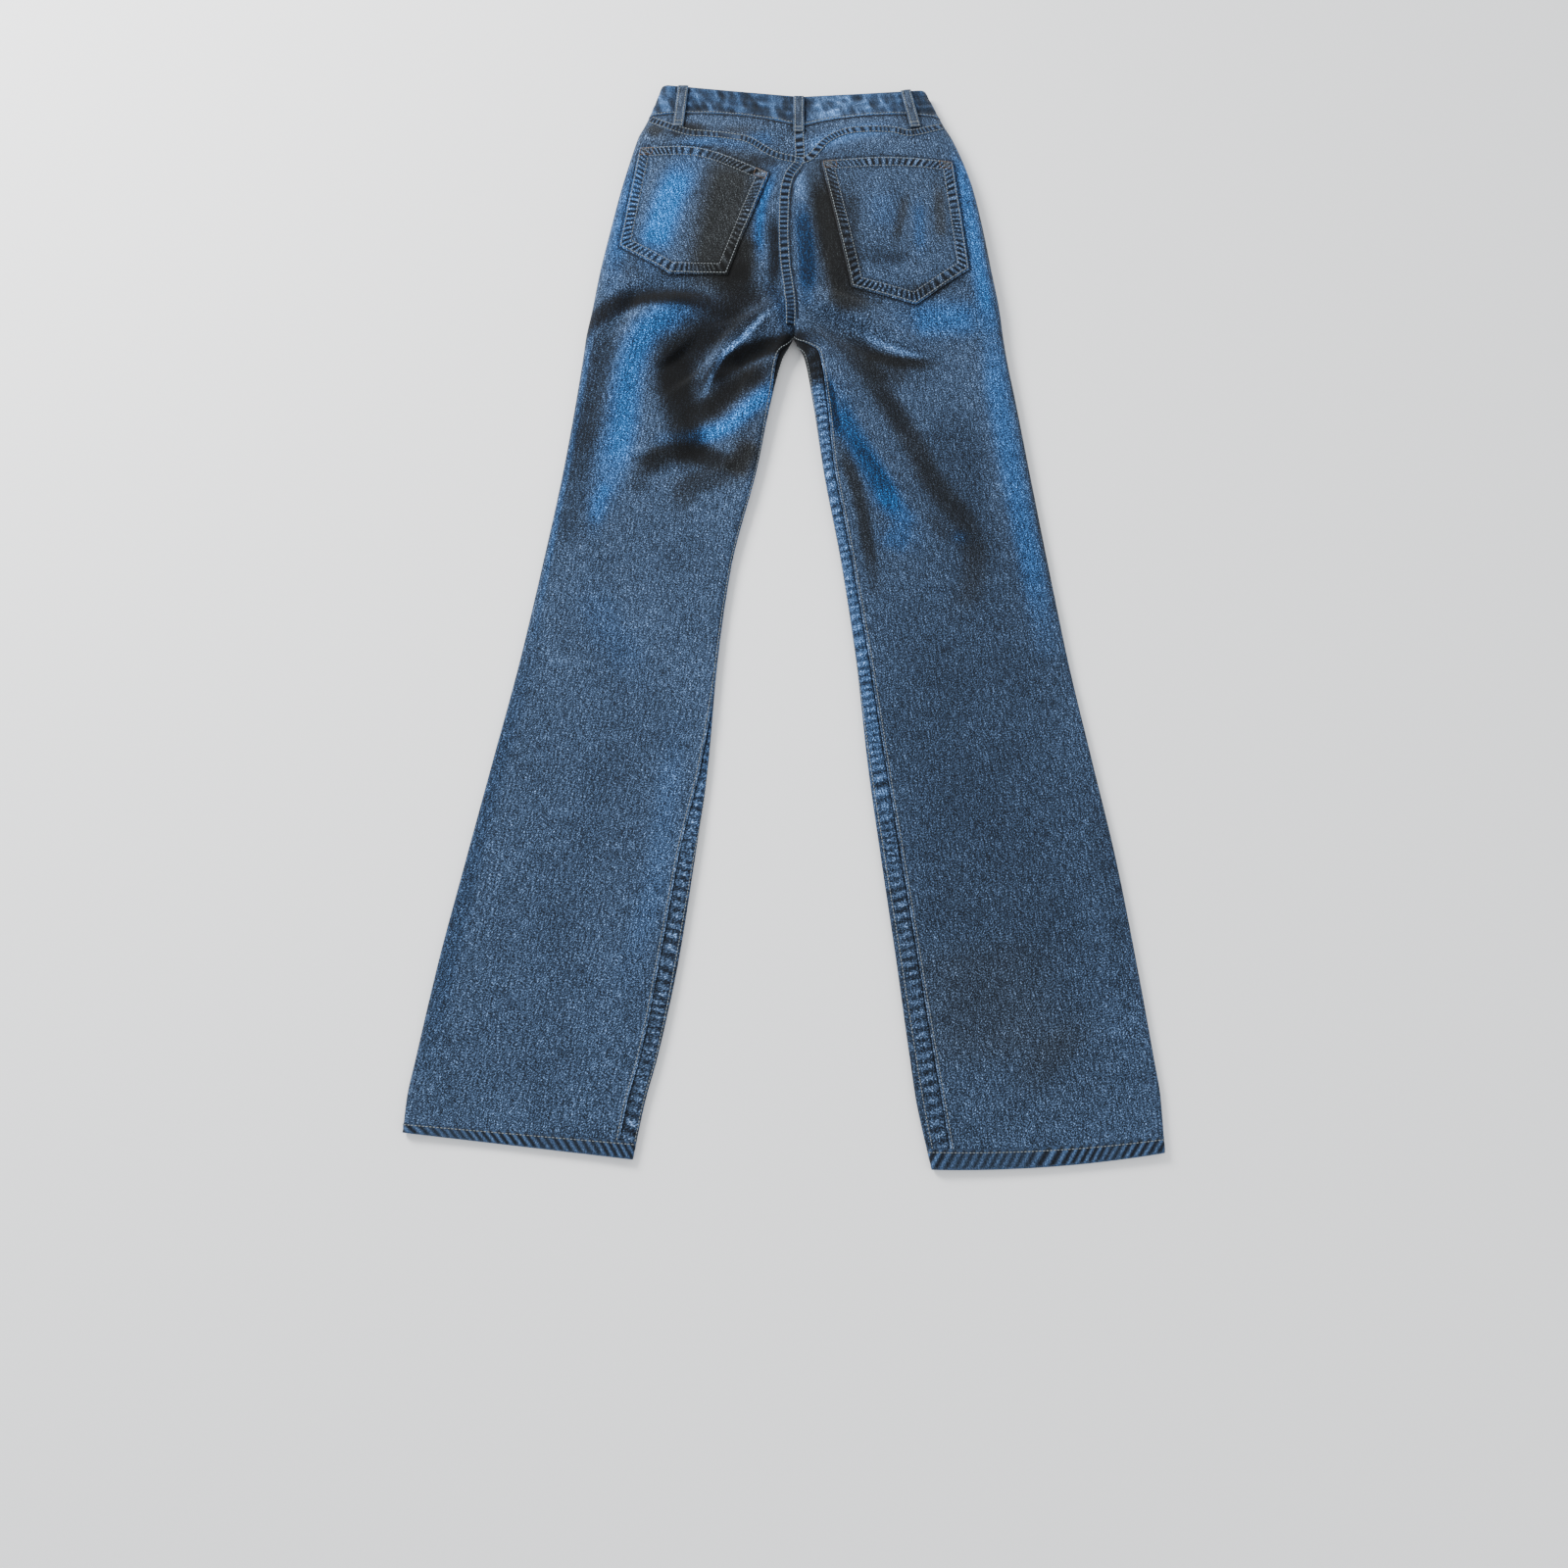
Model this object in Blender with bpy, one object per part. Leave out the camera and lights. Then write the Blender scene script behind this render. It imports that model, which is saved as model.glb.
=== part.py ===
"""Flare jeans laid out flat with the back side up, in metres, +Z up.

The waist points to +Y and the hems to -Y. Each half is worked out from one table of
stations and one table of lofts, by sections across the leg. A section runs from the side
seam on the floor up round the outer edge, over the top, down round the inner edge and
back along the floor. Panels are stretches of these sections, a wall thick.
"""
from collections import namedtuple
from math import pi

import bmesh
import bpy
import numpy as np

# Cloth and seams
CLOTH = 0.0012
SEAM_GAP = 0.0003
HEM_DEPTH = 0.0165
HEM_CLOTH = 0.0022
BAND_CLOTH = 0.0024

# Levels along a leg, measured from the hem
FORK = 0.835
YOKE_LINE = 1.035
WAIST_LINE = 1.085
WAIST_EDGE = 1.128

# Front waistband, lifted off the floor by its loops and its button
FRONT_LIFT = 0.0017
BUTTON_LIFT = 0.0009
BUTTON_REACH = 0.030
LIFT_START = 0.062
LIFT_END = 0.022
LIFT_EASE = 0.010
FRONT_DIP = 0.012
DIP_START = 0.955
DIP_RUN = 0.120
LAP = 0.020
LAP_RISE = 0.0028
LAP_REACH = 0.045
LAP_EASE = 0.030

# Button, belt loops and pockets
BUTTON_RADIUS = 0.0085
BUTTON_HEIGHT = 0.0021
BUTTON_TAPER = 0.9
BUTTON_SIDES = 28
LOOP_WIDTH = 0.0115
LOOP_CLOTH = 0.0016
LOOP_EDGE = 0.75
LOOP_ROWS = 9
LOOP_CLEARANCE = 0.0007
LOOP_BOW = 0.0008
LOOP_STEP = 0.001
LOOP_REST = 0.0004
FRONT_LOOP_CLOTH = 0.0013
FRONT_LOOP_LENGTH = 0.050
FRONT_LOOP_REACH = 0.001
FRONT_LOOP_LEFT = -0.072
FRONT_LOOP_RIGHT = 0.112
POCKET_CLOTH = 0.0013
POCKET_GAP = 0.0004
POCKET_CUT = 0.0002
POCKET_SHORTEST = 0.0006

# Shape of a section: the power of its crown, and how far from its edges the folds fade out
CROWN_POWER = 2.5
OUTER_FADE = 0.018
INNER_FADE = 0.015
FOLD_ENDS = 0.25
FOLD_END_HEIGHT = 0.25

# Points of a section as drawn
EDGE_POINTS = 24
TOP_POINTS = 160
FLOOR_POINTS = 120
CROWD_POINTS = 400
AIM_STEP = 0.0003
SLOPE_STEP = 0.0006

# Columns of the panels, and where they stand closer together: reach and gain
FLOOR_COLUMNS = 9
OUTER_STEPS = 2
BACK_COLUMNS = 20
FRONT_COLUMNS = 12
YOKE_COLUMNS = 15
BAND_COLUMNS = 12
OUTER_CROWD = (0.016, 3.5)
INNER_CROWD = (0.014, 3.0)
FRONT_CROWD = (0.012, 7.0)
FRONT_CROWD_PLACE = 0.006
INNER_CROWD_END = 0.885

# Levels at which the panels are drawn
HEM_STEP = 0.0008
LEG_LEVELS = (0.045, 0.66, 19)
THIGH_LEVELS = (0.68, 0.82, 9)
FORK_LEVELS = (0.829, FORK, 0.840, 0.846, 0.854)
SEAT_START = 0.868
SEAT_ROWS = 12
YOKE_ROWS = 4
BAND_ROWS = 4

# Shading and colours
SHARP_ANGLE = 1.0
CLOTH_ROUGHNESS = 0.9
BRASS_ROUGHNESS = 0.4
PANEL_BLUE = (0.10, 0.16, 0.27)
YOKE_BLUE = (0.12, 0.18, 0.29)
BAND_BLUE = (0.11, 0.17, 0.26)
POCKET_BLUE = (0.13, 0.20, 0.32)
LOOP_BLUE = (0.15, 0.21, 0.31)
BRASS = (0.55, 0.36, 0.17)

# The tables are in plan as drawn; this moves the middle of the outline to the origin
TO_MIDDLE = (0.0008, 0.0076, 0.0)

# Where the outline of each half runs: the outer and the inner edge, how far the inseam lies
# from the inner edge, measured over the top, and how far the line between them bows to +Y
Station = namedtuple("Station", "along out_x out_y in_x in_y inseam bow")
LEFT = [
    Station(0.000, -0.3500, -0.5490, -0.1380, -0.5730, 0.017, 0.000),
    Station(0.055, -0.3480, -0.5174, -0.1272, -0.5185, 0.018, 0.000),
    Station(0.090, -0.3420, -0.4820, -0.1175, -0.4820, 0.018, 0.000),
    Station(0.183, -0.3255, -0.3900, -0.0990, -0.3900, 0.020, 0.000),
    Station(0.277, -0.3055, -0.2960, -0.0856, -0.2960, 0.018, 0.000),
    Station(0.373, -0.2847, -0.1996, -0.0736, -0.1996, 0.009, 0.000),
    Station(0.474, -0.2631, -0.0995, -0.0661, -0.0995, 0.002, 0.000),
    Station(0.577, -0.2440, 0.0044, -0.0533, 0.0044, 0.001, 0.000),
    Station(0.684, -0.2260, 0.1110, -0.0281, 0.1110, 0.001, 0.000),
    Station(0.761, -0.2156, 0.1880, -0.0132, 0.1880, 0.004, 0.000),
    Station(0.811, -0.2097, 0.2380, -0.0010, 0.2380, 0.009, 0.000),
    Station(0.835, -0.2072, 0.2620, 0.0100, 0.2620, 0.0, 0.000),
    Station(0.862, -0.2022, 0.2900, 0.0100, 0.2880, 0.0, 0.000),
    Station(0.909, -0.1952, 0.3360, 0.0048, 0.3320, 0.0, 0.000),
    Station(0.956, -0.1862, 0.3830, 0.0026, 0.3740, 0.0, 0.000),
    Station(1.000, -0.1750, 0.4380, 0.0040, 0.4220, 0.0, 0.003),
    Station(1.019, -0.1675, 0.4690, 0.0090, 0.4440, 0.0, 0.008),
    Station(1.035, -0.1585, 0.5020, 0.0195, 0.4616, 0.0, 0.013),
    Station(1.060, -0.1535, 0.5130, 0.0195, 0.4860, 0.0, 0.011),
    Station(1.085, -0.1480, 0.5260, 0.0190, 0.5090, 0.0, 0.007),
    Station(1.128, -0.1345, 0.5670, 0.0180, 0.5490, 0.0, -0.001),
]
RIGHT = [
    Station(0.000, 0.3485, -0.5670, 0.1345, -0.5820, 0.022, -0.005),
    Station(0.055, 0.3475, -0.5174, 0.1212, -0.5190, 0.026, -0.002),
    Station(0.090, 0.3435, -0.4820, 0.1165, -0.4820, 0.025, 0.000),
    Station(0.183, 0.3320, -0.3900, 0.1054, -0.3900, 0.023, 0.000),
    Station(0.277, 0.3187, -0.2960, 0.0930, -0.2960, 0.022, 0.000),
    Station(0.373, 0.3010, -0.1996, 0.0813, -0.1996, 0.020, 0.000),
    Station(0.474, 0.2826, -0.0995, 0.0718, -0.0995, 0.016, 0.000),
    Station(0.577, 0.2667, 0.0044, 0.0583, 0.0044, 0.014, 0.000),
    Station(0.684, 0.2511, 0.1110, 0.0401, 0.1110, 0.015, 0.000),
    Station(0.761, 0.2400, 0.1880, 0.0294, 0.1880, 0.019, 0.000),
    Station(0.811, 0.2323, 0.2380, 0.0205, 0.2380, 0.021, 0.000),
    Station(0.835, 0.2295, 0.2620, 0.0100, 0.2620, 0.0, 0.000),
    Station(0.862, 0.2270, 0.2900, 0.0100, 0.2880, 0.0, 0.000),
    Station(0.909, 0.2202, 0.3360, 0.0048, 0.3320, 0.0, 0.000),
    Station(0.956, 0.2134, 0.3830, 0.0026, 0.3740, 0.0, 0.000),
    Station(1.000, 0.2034, 0.4380, 0.0040, 0.4220, 0.0, 0.003),
    Station(1.019, 0.1945, 0.4690, 0.0090, 0.4440, 0.0, 0.008),
    Station(1.035, 0.1830, 0.4990, 0.0195, 0.4616, 0.0, 0.013),
    Station(1.060, 0.1770, 0.5110, 0.0195, 0.4860, 0.0, 0.011),
    Station(1.085, 0.1710, 0.5240, 0.0190, 0.5090, 0.0, 0.007),
    Station(1.128, 0.1560, 0.5600, 0.0180, 0.5490, 0.0, -0.001),
]

# How the sections are lofted: heights over the floor, widths of the rolled edges, the parts
# of the inner height that the top drops and the floor rises at the inner edge, and how
# round that drop is
Loft = namedtuple("Loft", "along out_height middle_height in_height out_roll in_roll drop rise round")
LOFTS = [
    Loft(0.000, 0.0078, 0.0062, 0.0078, 0.0050, 0.0050, 0.50, 0.50, 2.0),
    Loft(0.183, 0.0088, 0.0064, 0.0088, 0.0055, 0.0055, 0.50, 0.50, 2.0),
    Loft(0.474, 0.0098, 0.0068, 0.0100, 0.0060, 0.0060, 0.50, 0.50, 2.0),
    Loft(0.684, 0.0125, 0.0085, 0.0140, 0.0080, 0.0080, 0.50, 0.50, 2.0),
    Loft(0.811, 0.0155, 0.0150, 0.0200, 0.0100, 0.0100, 0.50, 0.50, 2.0),
    Loft(0.835, 0.0165, 0.0190, 0.0220, 0.0110, 0.0110, 0.50, 0.50, 2.0),
    Loft(0.845, 0.0170, 0.0210, 0.0240, 0.0115, 0.0130, 0.26, 0.16, 1.7),
    Loft(0.862, 0.0178, 0.0240, 0.0260, 0.0120, 0.0160, 0.08, 0.00, 1.3),
    Loft(0.909, 0.0190, 0.0300, 0.0280, 0.0130, 0.0200, 0.04, 0.00, 1.0),
    Loft(0.956, 0.0190, 0.0310, 0.0285, 0.0130, 0.0200, 0.03, 0.00, 1.0),
    Loft(1.035, 0.0175, 0.0260, 0.0260, 0.0120, 0.0200, 0.02, 0.00, 1.0),
    Loft(1.085, 0.0155, 0.0205, 0.0210, 0.0100, 0.0200, 0.00, 0.00, 1.0),
    Loft(1.128, 0.0140, 0.0165, 0.0170, 0.0090, 0.0200, 0.00, 0.00, 1.0),
]

# The largest folds, each along a path in plan. A wide side and a narrow side make a fold
# lean; a height below zero is a trough
Fold = namedtuple("Fold", "height side_a side_b path")
FOLDS = [
    # Left leg: the arc under the pocket with its trough, the hollow and the ridge beside it
    Fold(0.0045, 0.012, 0.015, [(-0.2080, 0.0875), (-0.1775, 0.1967), (-0.1533, 0.2719),
                                (-0.1124, 0.2918), (-0.0714, 0.2888)]),
    Fold(-0.0045, 0.009, 0.009, [(-0.1850, 0.2510), (-0.1537, 0.3091), (-0.1125, 0.3130),
                                 (-0.0663, 0.3030)]),
    Fold(-0.0075, 0.022, 0.026, [(-0.1150, 0.2450), (-0.0900, 0.2150)]),
    Fold(0.0070, 0.014, 0.007, [(-0.0051, 0.2956), (-0.0561, 0.2549), (-0.0733, 0.2288),
                                (-0.0790, 0.1910)]),
    Fold(-0.0060, 0.009, 0.010, [(-0.0102, 0.2486), (-0.0559, 0.2230)]),
    Fold(0.0035, 0.013, 0.015, [(-0.0152, 0.2107), (-0.0504, 0.1631), (-0.1109, 0.1481)]),
    Fold(-0.0028, 0.014, 0.016, [(-0.0705, 0.1368), (-0.1404, 0.1002)]),
    Fold(0.0025, 0.011, 0.013, [(-0.2080, 0.0875), (-0.1978, 0.0243), (-0.1769, -0.0375)]),
    # Right leg: the ridge under the seat with its trough, and the long fold down the thigh
    Fold(0.0065, 0.007, 0.015, [(0.1529, 0.2382), (0.1224, 0.2504), (0.0612, 0.2800),
                                (0.0102, 0.3000)]),
    Fold(-0.0050, 0.009, 0.009, [(0.0260, 0.2820), (0.0620, 0.2580), (0.1150, 0.2310)]),
    Fold(0.0055, 0.009, 0.010, [(0.0255, 0.2693), (0.0508, 0.2276), (0.0808, 0.1744)]),
    Fold(0.0028, 0.020, 0.018, [(0.0605, 0.1628), (0.1295, 0.0670)]),
    Fold(-0.0034, 0.017, 0.015, [(0.0815, 0.2350), (0.1404, 0.1102), (0.1732, 0.0246),
                                 (0.1855, -0.0590)]),
    Fold(0.0030, 0.012, 0.012, [(0.2150, 0.2510), (0.2240, 0.1086), (0.2330, -0.0699)]),
    # Seat: beside the centre seam and across the pockets
    Fold(-0.0035, 0.009, 0.009, [(0.0365, 0.4407), (0.0430, 0.3223)]),
    Fold(0.0028, 0.010, 0.010, [(0.0278, 0.3900), (0.0300, 0.3009)]),
    Fold(-0.0022, 0.010, 0.010, [(0.1269, 0.4332), (0.1212, 0.3412)]),
    Fold(-0.0028, 0.022, 0.020, [(-0.0520, 0.4278), (-0.0871, 0.3337)]),
    # Lower legs: shallow sags between the knees and the hems
    Fold(-0.0012, 0.020, 0.020, [(-0.1500, -0.0600), (-0.1700, -0.2300), (-0.2100, -0.4200)]),
    Fold(-0.0012, 0.020, 0.020, [(0.1750, -0.0900), (0.2050, -0.2600), (0.2350, -0.4400)]),
]

# Back pockets by their corners in plan, round from the top outer or inner one
POCKETS = {
    "left": [(-0.1552, 0.4821), (-0.0894, 0.4807), (-0.0157, 0.4445),
             (-0.0593, 0.3211), (-0.1199, 0.3247), (-0.1737, 0.3598)],
    "right": [(0.0398, 0.4596), (0.1101, 0.4665), (0.1809, 0.4638),
              (0.1944, 0.3325), (0.1380, 0.2909), (0.0705, 0.3083)],
}

# Belt loops on the back, from the edge of the waistband to below its seam
BACK_LOOPS = {
    "loop_back_left": ("left", (-0.1100, 0.5630), (-0.1143, 0.5076)),
    "loop_back_centre": ("left", (0.0160, 0.5482), (0.0159, 0.5004)),
    "loop_back_right": ("right", (0.1328, 0.5572), (0.1419, 0.5064)),
}

CENTRE_X = LEFT[-1].in_x


def smooth(table, name, along):
    """Value of a column at a level, on a smooth curve without overshoot."""
    levels = np.array([row.along for row in table])
    values = np.array([getattr(row, name) for row in table])
    steps = np.diff(levels)
    rises = np.diff(values) / steps
    slopes = np.zeros(len(values))
    slopes[0] = rises[0]
    slopes[-1] = rises[-1]
    for k in range(1, len(values) - 1):
        if rises[k - 1] * rises[k] > 0:
            before = 2 * steps[k] + steps[k - 1]
            after = steps[k] + 2 * steps[k - 1]
            slopes[k] = (before + after) / (before / rises[k - 1] + after / rises[k])
    k = int(np.clip(np.searchsorted(levels, along) - 1, 0, len(steps) - 1))
    t = np.clip((along - levels[k]) / steps[k], 0, 1)
    step = steps[k]
    return float(
        (1 + 2 * t) * (1 - t) ** 2 * values[k]
        + t * (1 - t) ** 2 * step * slopes[k]
        + t * t * (3 - 2 * t) * values[k + 1]
        + t * t * (t - 1) * step * slopes[k + 1]
    )


def ease(x):
    """A smooth step from 0 to 1."""
    x = np.clip(x, 0, 1)
    return x * x * (3 - 2 * x)


def fold_height(x, y):
    """Sum of the folds at points in plan."""
    total = np.zeros_like(x)
    for fold in FOLDS:
        path = np.array(fold.path)
        nearest = np.full(x.shape, np.inf)
        side = np.zeros(x.shape)
        place = np.zeros(x.shape)
        for k in range(len(path) - 1):
            start = path[k]
            run = path[k + 1] - start
            length = np.hypot(*run)
            t = np.clip(((x - start[0]) * run[0] + (y - start[1]) * run[1]) / length**2, 0, 1)
            away_x = x - start[0] - t * run[0]
            away_y = y - start[1] - t * run[1]
            distance = np.hypot(away_x, away_y)
            closer = distance < nearest
            nearest = np.where(closer, distance, nearest)
            side = np.where(closer, run[0] * away_y - run[1] * away_x, side)
            place = np.where(closer, (k + t) / (len(path) - 1), place)
        width = np.where(side > 0, fold.side_a, fold.side_b)
        ends = ease(place / FOLD_ENDS) * ease((1 - place) / FOLD_ENDS)
        strength = FOLD_END_HEIGHT + (1 - FOLD_END_HEIGHT) * ends
        total += fold.height * np.exp(-((nearest / width) ** 2)) * strength
    return total


class Section:
    """One section across a half, at one level."""

    def __init__(self, table, along):
        self.along = along
        self.out_x = smooth(table, "out_x", along)
        self.out_y = smooth(table, "out_y", along)
        centre = smooth(table, "in_x", along)
        self.in_x = centre - np.sign(centre - self.out_x) * SEAM_GAP / 2
        self.in_y = smooth(table, "in_y", along)
        self.inseam = smooth(table, "inseam", along)
        self.bow = smooth(table, "bow", along)
        for name in Loft._fields[1:]:
            setattr(self, name, smooth(LOFTS, name, along))
        self.width = abs(self.in_x - self.out_x)
        self.forked = along <= FORK + 1e-9

    def plan(self, across):
        share = across / self.width
        x = self.out_x + (self.in_x - self.out_x) * share
        y = self.out_y + (self.in_y - self.out_y) * share
        return x, y + self.bow * 4 * share * (1 - share)

    def top(self, across):
        """Height of the upper surface at distances from the outer edge."""
        share = np.clip(across / self.width, 0, 1)
        edge = self.out_height + (self.in_height - self.out_height) * share
        bow = self.middle_height - (self.out_height + self.in_height) / 2
        height = edge + bow * (1 - np.abs(2 * share - 1) ** CROWN_POWER)
        x, y = self.plan(across)
        inner_ease = ease((self.width - across) / INNER_FADE)
        if not self.forked:
            inner_ease = 1 - 2 * self.drop * (1 - inner_ease)
        height = height + fold_height(x, y) * ease(across / OUTER_FADE) * inner_ease
        roll = 1 - np.clip(across / self.out_roll, 0, 1)
        height = height * (0.5 + 0.5 * np.sqrt(np.clip(1 - roll**2, 0, 1)))
        turn = np.clip(1 - (self.width - across) / self.in_roll, 0, 1)
        fall = 1 - np.clip(1 - turn**2, 0, 1) ** (1 / self.round)
        return height - self.in_height * self.drop * fall

    def floor(self, across):
        """Height of the lower surface, which lies on the floor but for the waist."""
        x, y = self.plan(across)
        front = (self.along - (WAIST_LINE - LIFT_START)) / (LIFT_START - LIFT_END)
        centre = abs(x - CENTRE_X) / BUTTON_REACH
        lift = FRONT_LIFT + BUTTON_LIFT * (1 - ease(centre - 0.5))
        turn = np.clip(1 - (self.width - across) / self.in_roll, 0, 1)
        rise = 1 - np.clip(1 - turn**2, 0, 1) ** (1 / self.round)
        inside = ease((across - self.out_roll) / LIFT_EASE)
        return lift * ease(front) * inside + self.in_height * self.rise * rise

    def point(self, across, height, dip=0.0):
        x, y = self.plan(across)
        inward = np.clip((across - self.out_roll) / (self.width - self.out_roll), 0, 1)
        middle = 1 - (1 - inward) ** 2
        dipped = ease((self.along - DIP_START) / DIP_RUN)
        return np.stack([x, y - dip * middle * dipped, height], axis=-1)

    def upper(self):
        """From the side seam up round the outer edge and over to the inner edge's widest."""
        angle = np.linspace(0, pi / 2, EDGE_POINTS)
        turn = self.out_roll * (1 - np.sin(angle))
        start = self.top(np.zeros(1))[0]
        below = self.point(turn, start * (1 - np.cos(angle)))
        rise = self.out_roll * (1 - np.cos(angle))
        flat = np.linspace(self.out_roll, self.width - self.in_roll, TOP_POINTS)
        fall = self.width - self.in_roll * (1 - np.sin(angle))
        across = np.concatenate([rise[1:], flat[1:-1], fall])
        return np.concatenate([below, self.point(across, self.top(across))])

    def lower(self):
        """The inner edge from its widest point down, and the floor back to the side seam."""
        angle = np.linspace(pi / 2, 0, EDGE_POINTS)
        turn = self.width - self.in_roll * (1 - np.sin(angle))
        flat = np.linspace(self.width - self.in_roll, self.out_roll, FLOOR_POINTS)
        across = np.concatenate([turn, flat[1:]])
        return self.point(across, self.floor(across), FRONT_DIP)


def lengths(line):
    """Length along a line up to each of its points."""
    return np.concatenate([[0], np.cumsum(np.linalg.norm(np.diff(line, axis=0), axis=1))])


def places(start, end, count, *crowds):
    """Lengths from start to end, closer together near each crowd's middle."""
    fine = np.linspace(start, end, CROWD_POINTS)
    density = 1 + sum(gain * np.exp(-(((fine - middle) / reach) ** 2))
                      for middle, reach, gain in crowds)
    filled = np.concatenate([[0], np.cumsum((density[1:] + density[:-1]) / 2)])
    return np.interp(np.linspace(0, filled[-1], count), filled, fine)


def pick(line, chosen):
    """Points and directions of a line at chosen lengths."""
    run = lengths(line)
    at = lambda where: np.stack([np.interp(where, run, line[:, k]) for k in range(3)], axis=-1)
    direction = at(chosen + AIM_STEP) - at(chosen - AIM_STEP)
    return at(chosen), direction / np.linalg.norm(direction, axis=1, keepdims=True)


def outer_part(line):
    """Length from the side seam to the outer edge's widest point."""
    return lengths(line[:EDGE_POINTS])[-1]


def back_line(table, along):
    """A back panel's points at one level, from the side seam to the inseam or centre seam."""
    section = Section(table, along)
    upper = section.upper()
    turn = outer_part(upper)
    end = lengths(upper)[-1]
    line = upper
    if section.forked:
        line = np.concatenate([upper, section.lower()[1:]])
        end -= section.inseam + SEAM_GAP / 2
    below = np.linspace(SEAM_GAP / 2, turn, OUTER_STEPS + 1)[:-1]
    crowds = [(turn, *OUTER_CROWD)]
    if along < INNER_CROWD_END:
        crowds.append((end, *INNER_CROWD))
    return pick(line, np.concatenate([below, places(turn, end, BACK_COLUMNS, *crowds)]))


def front_line(table, along):
    """A front panel's points at one level, from the inseam or centre seam to the side seam."""
    section = Section(table, along)
    line = section.lower()
    start = 0.0
    middle = FRONT_CROWD_PLACE
    if section.forked:
        upper = section.upper()
        middle = lengths(upper)[-1]
        start = middle - section.inseam + SEAM_GAP / 2
        line = np.concatenate([upper, line[1:]])
    end = lengths(line)[-1] - SEAM_GAP / 2
    return pick(line, places(start, end, FRONT_COLUMNS, (middle, *FRONT_CROWD)))


def yoke_line(table, along):
    """A yoke's points at one level, from the side seam to the centre seam."""
    upper = Section(table, along).upper()
    turn = outer_part(upper)
    below = np.linspace(SEAM_GAP / 2, turn, OUTER_STEPS + 1)[:-1]
    over = places(turn, lengths(upper)[-1], YOKE_COLUMNS, (turn, *OUTER_CROWD))
    return pick(upper, np.concatenate([below, over]))


def band_line(along):
    """The waistband once round, from its lower front end to the end lapped above it."""
    halves = []
    for table in (LEFT, RIGHT):
        section = Section(table, along)
        line = np.concatenate([section.lower(), section.upper()[1:]])
        side_seam = lengths(section.lower())[-1]
        widest = side_seam + outer_part(section.upper())
        end = lengths(line)[-1]
        chosen = np.concatenate([
            np.linspace(0, side_seam, FLOOR_COLUMNS)[:-1],
            np.linspace(side_seam, widest, OUTER_STEPS + 1)[:-1],
            places(widest, end, BAND_COLUMNS, (widest, *OUTER_CROWD)),
        ])
        halves.append(pick(line, chosen))
    points, directions = halves[1]
    points = points[::-1].copy()
    directions = -directions[::-1]
    reach = points[:, 0] - points[-1, 0]
    reach[:-FLOOR_COLUMNS] = 2 * LAP_REACH
    points[:, 2] += LAP_RISE * ease((LAP_REACH - reach) / LAP_EASE)
    lap = points[-1] + np.outer(np.linspace(0.5, 1, 2), (-LAP, 0, 0))
    points = np.concatenate([halves[0][0], points[1:], lap])
    directions = np.concatenate([halves[0][1], directions[1:], [(-1, 0, 0)] * 2])
    return points, directions


def wall(name, line_at, levels, thickness, colour, side, middle=None, square=False):
    """A closed wall under the surface that line_at gives at each level."""
    drawn = [line_at(level) for level in levels]
    outside = np.array([points for points, directions in drawn])
    across = np.array([directions for points, directions in drawn])
    before = np.array([line_at(max(level - SLOPE_STEP, levels[0]))[0] for level in levels])
    after = np.array([line_at(min(level + SLOPE_STEP, levels[-1]))[0] for level in levels])
    normal = np.cross(across, after - before) * side
    normal /= np.linalg.norm(normal, axis=2, keepdims=True)
    depth = np.array([thickness(level) for level in levels])[:, None, None]
    inside = outside - normal * depth
    if middle is not None:
        edge = outside[:, middle]
        slope = np.gradient(edge[:, 0]) / np.gradient(edge[:, 1])
        limit = edge[:, 0] + slope * (inside[:, middle, 1] - edge[:, 1])
        inside[:, middle, 0] = side * np.minimum(side * limit, side * inside[:, middle, 0])
    if square:
        inside[0, :, 1] = np.maximum(inside[0, :, 1], outside[0, :, 1])
    return solid(name, outside, inside, colour)


def solid(name, outside, inside, colour):
    """A closed mesh between two grids of points."""
    rows, columns = outside.shape[:2]
    mesh = bmesh.new()
    bmesh.ops.create_grid(mesh, x_segments=columns - 1, y_segments=rows - 1, size=1)
    place = mesh.verts.layers.int.new("place")
    for k, vert in enumerate(mesh.verts):
        vert[place] = k
    bmesh.ops.triangulate(mesh, faces=mesh.faces[:], quad_method="FIXED")
    grown = bmesh.ops.extrude_face_region(mesh, geom=mesh.faces[:], use_keep_orig=True)
    lifted = {item for item in grown["geom"] if isinstance(item, bmesh.types.BMVert)}
    for vert in mesh.verts:
        row, column = divmod(vert[place], columns)
        vert.co = (inside if vert in lifted else outside)[row, column]
    return finish(name, mesh, colour)


def finish(name, mesh, colour):
    """A named object from a closed mesh, moved to its place, with its own colour."""
    bmesh.ops.translate(mesh, vec=TO_MIDDLE, verts=mesh.verts[:])
    bmesh.ops.recalc_face_normals(mesh, faces=mesh.faces[:])
    data = bpy.data.meshes.new(name)
    mesh.to_mesh(data)
    mesh.free()
    data.shade_smooth()
    data.set_sharp_from_angle(angle=SHARP_ANGLE)
    piece = bpy.data.objects.new(name, data)
    bpy.context.collection.objects.link(piece)
    data.materials.append(material(name, colour))
    return piece


def material(name, colour):
    """A matt cloth of one colour."""
    paint = bpy.data.materials.new(name + "_finish")
    paint.use_nodes = True
    shader = paint.node_tree.nodes["Principled BSDF"]
    shader.inputs["Base Color"].default_value = (*colour, 1)
    shader.inputs["Roughness"].default_value = CLOTH_ROUGHNESS
    return paint


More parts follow.
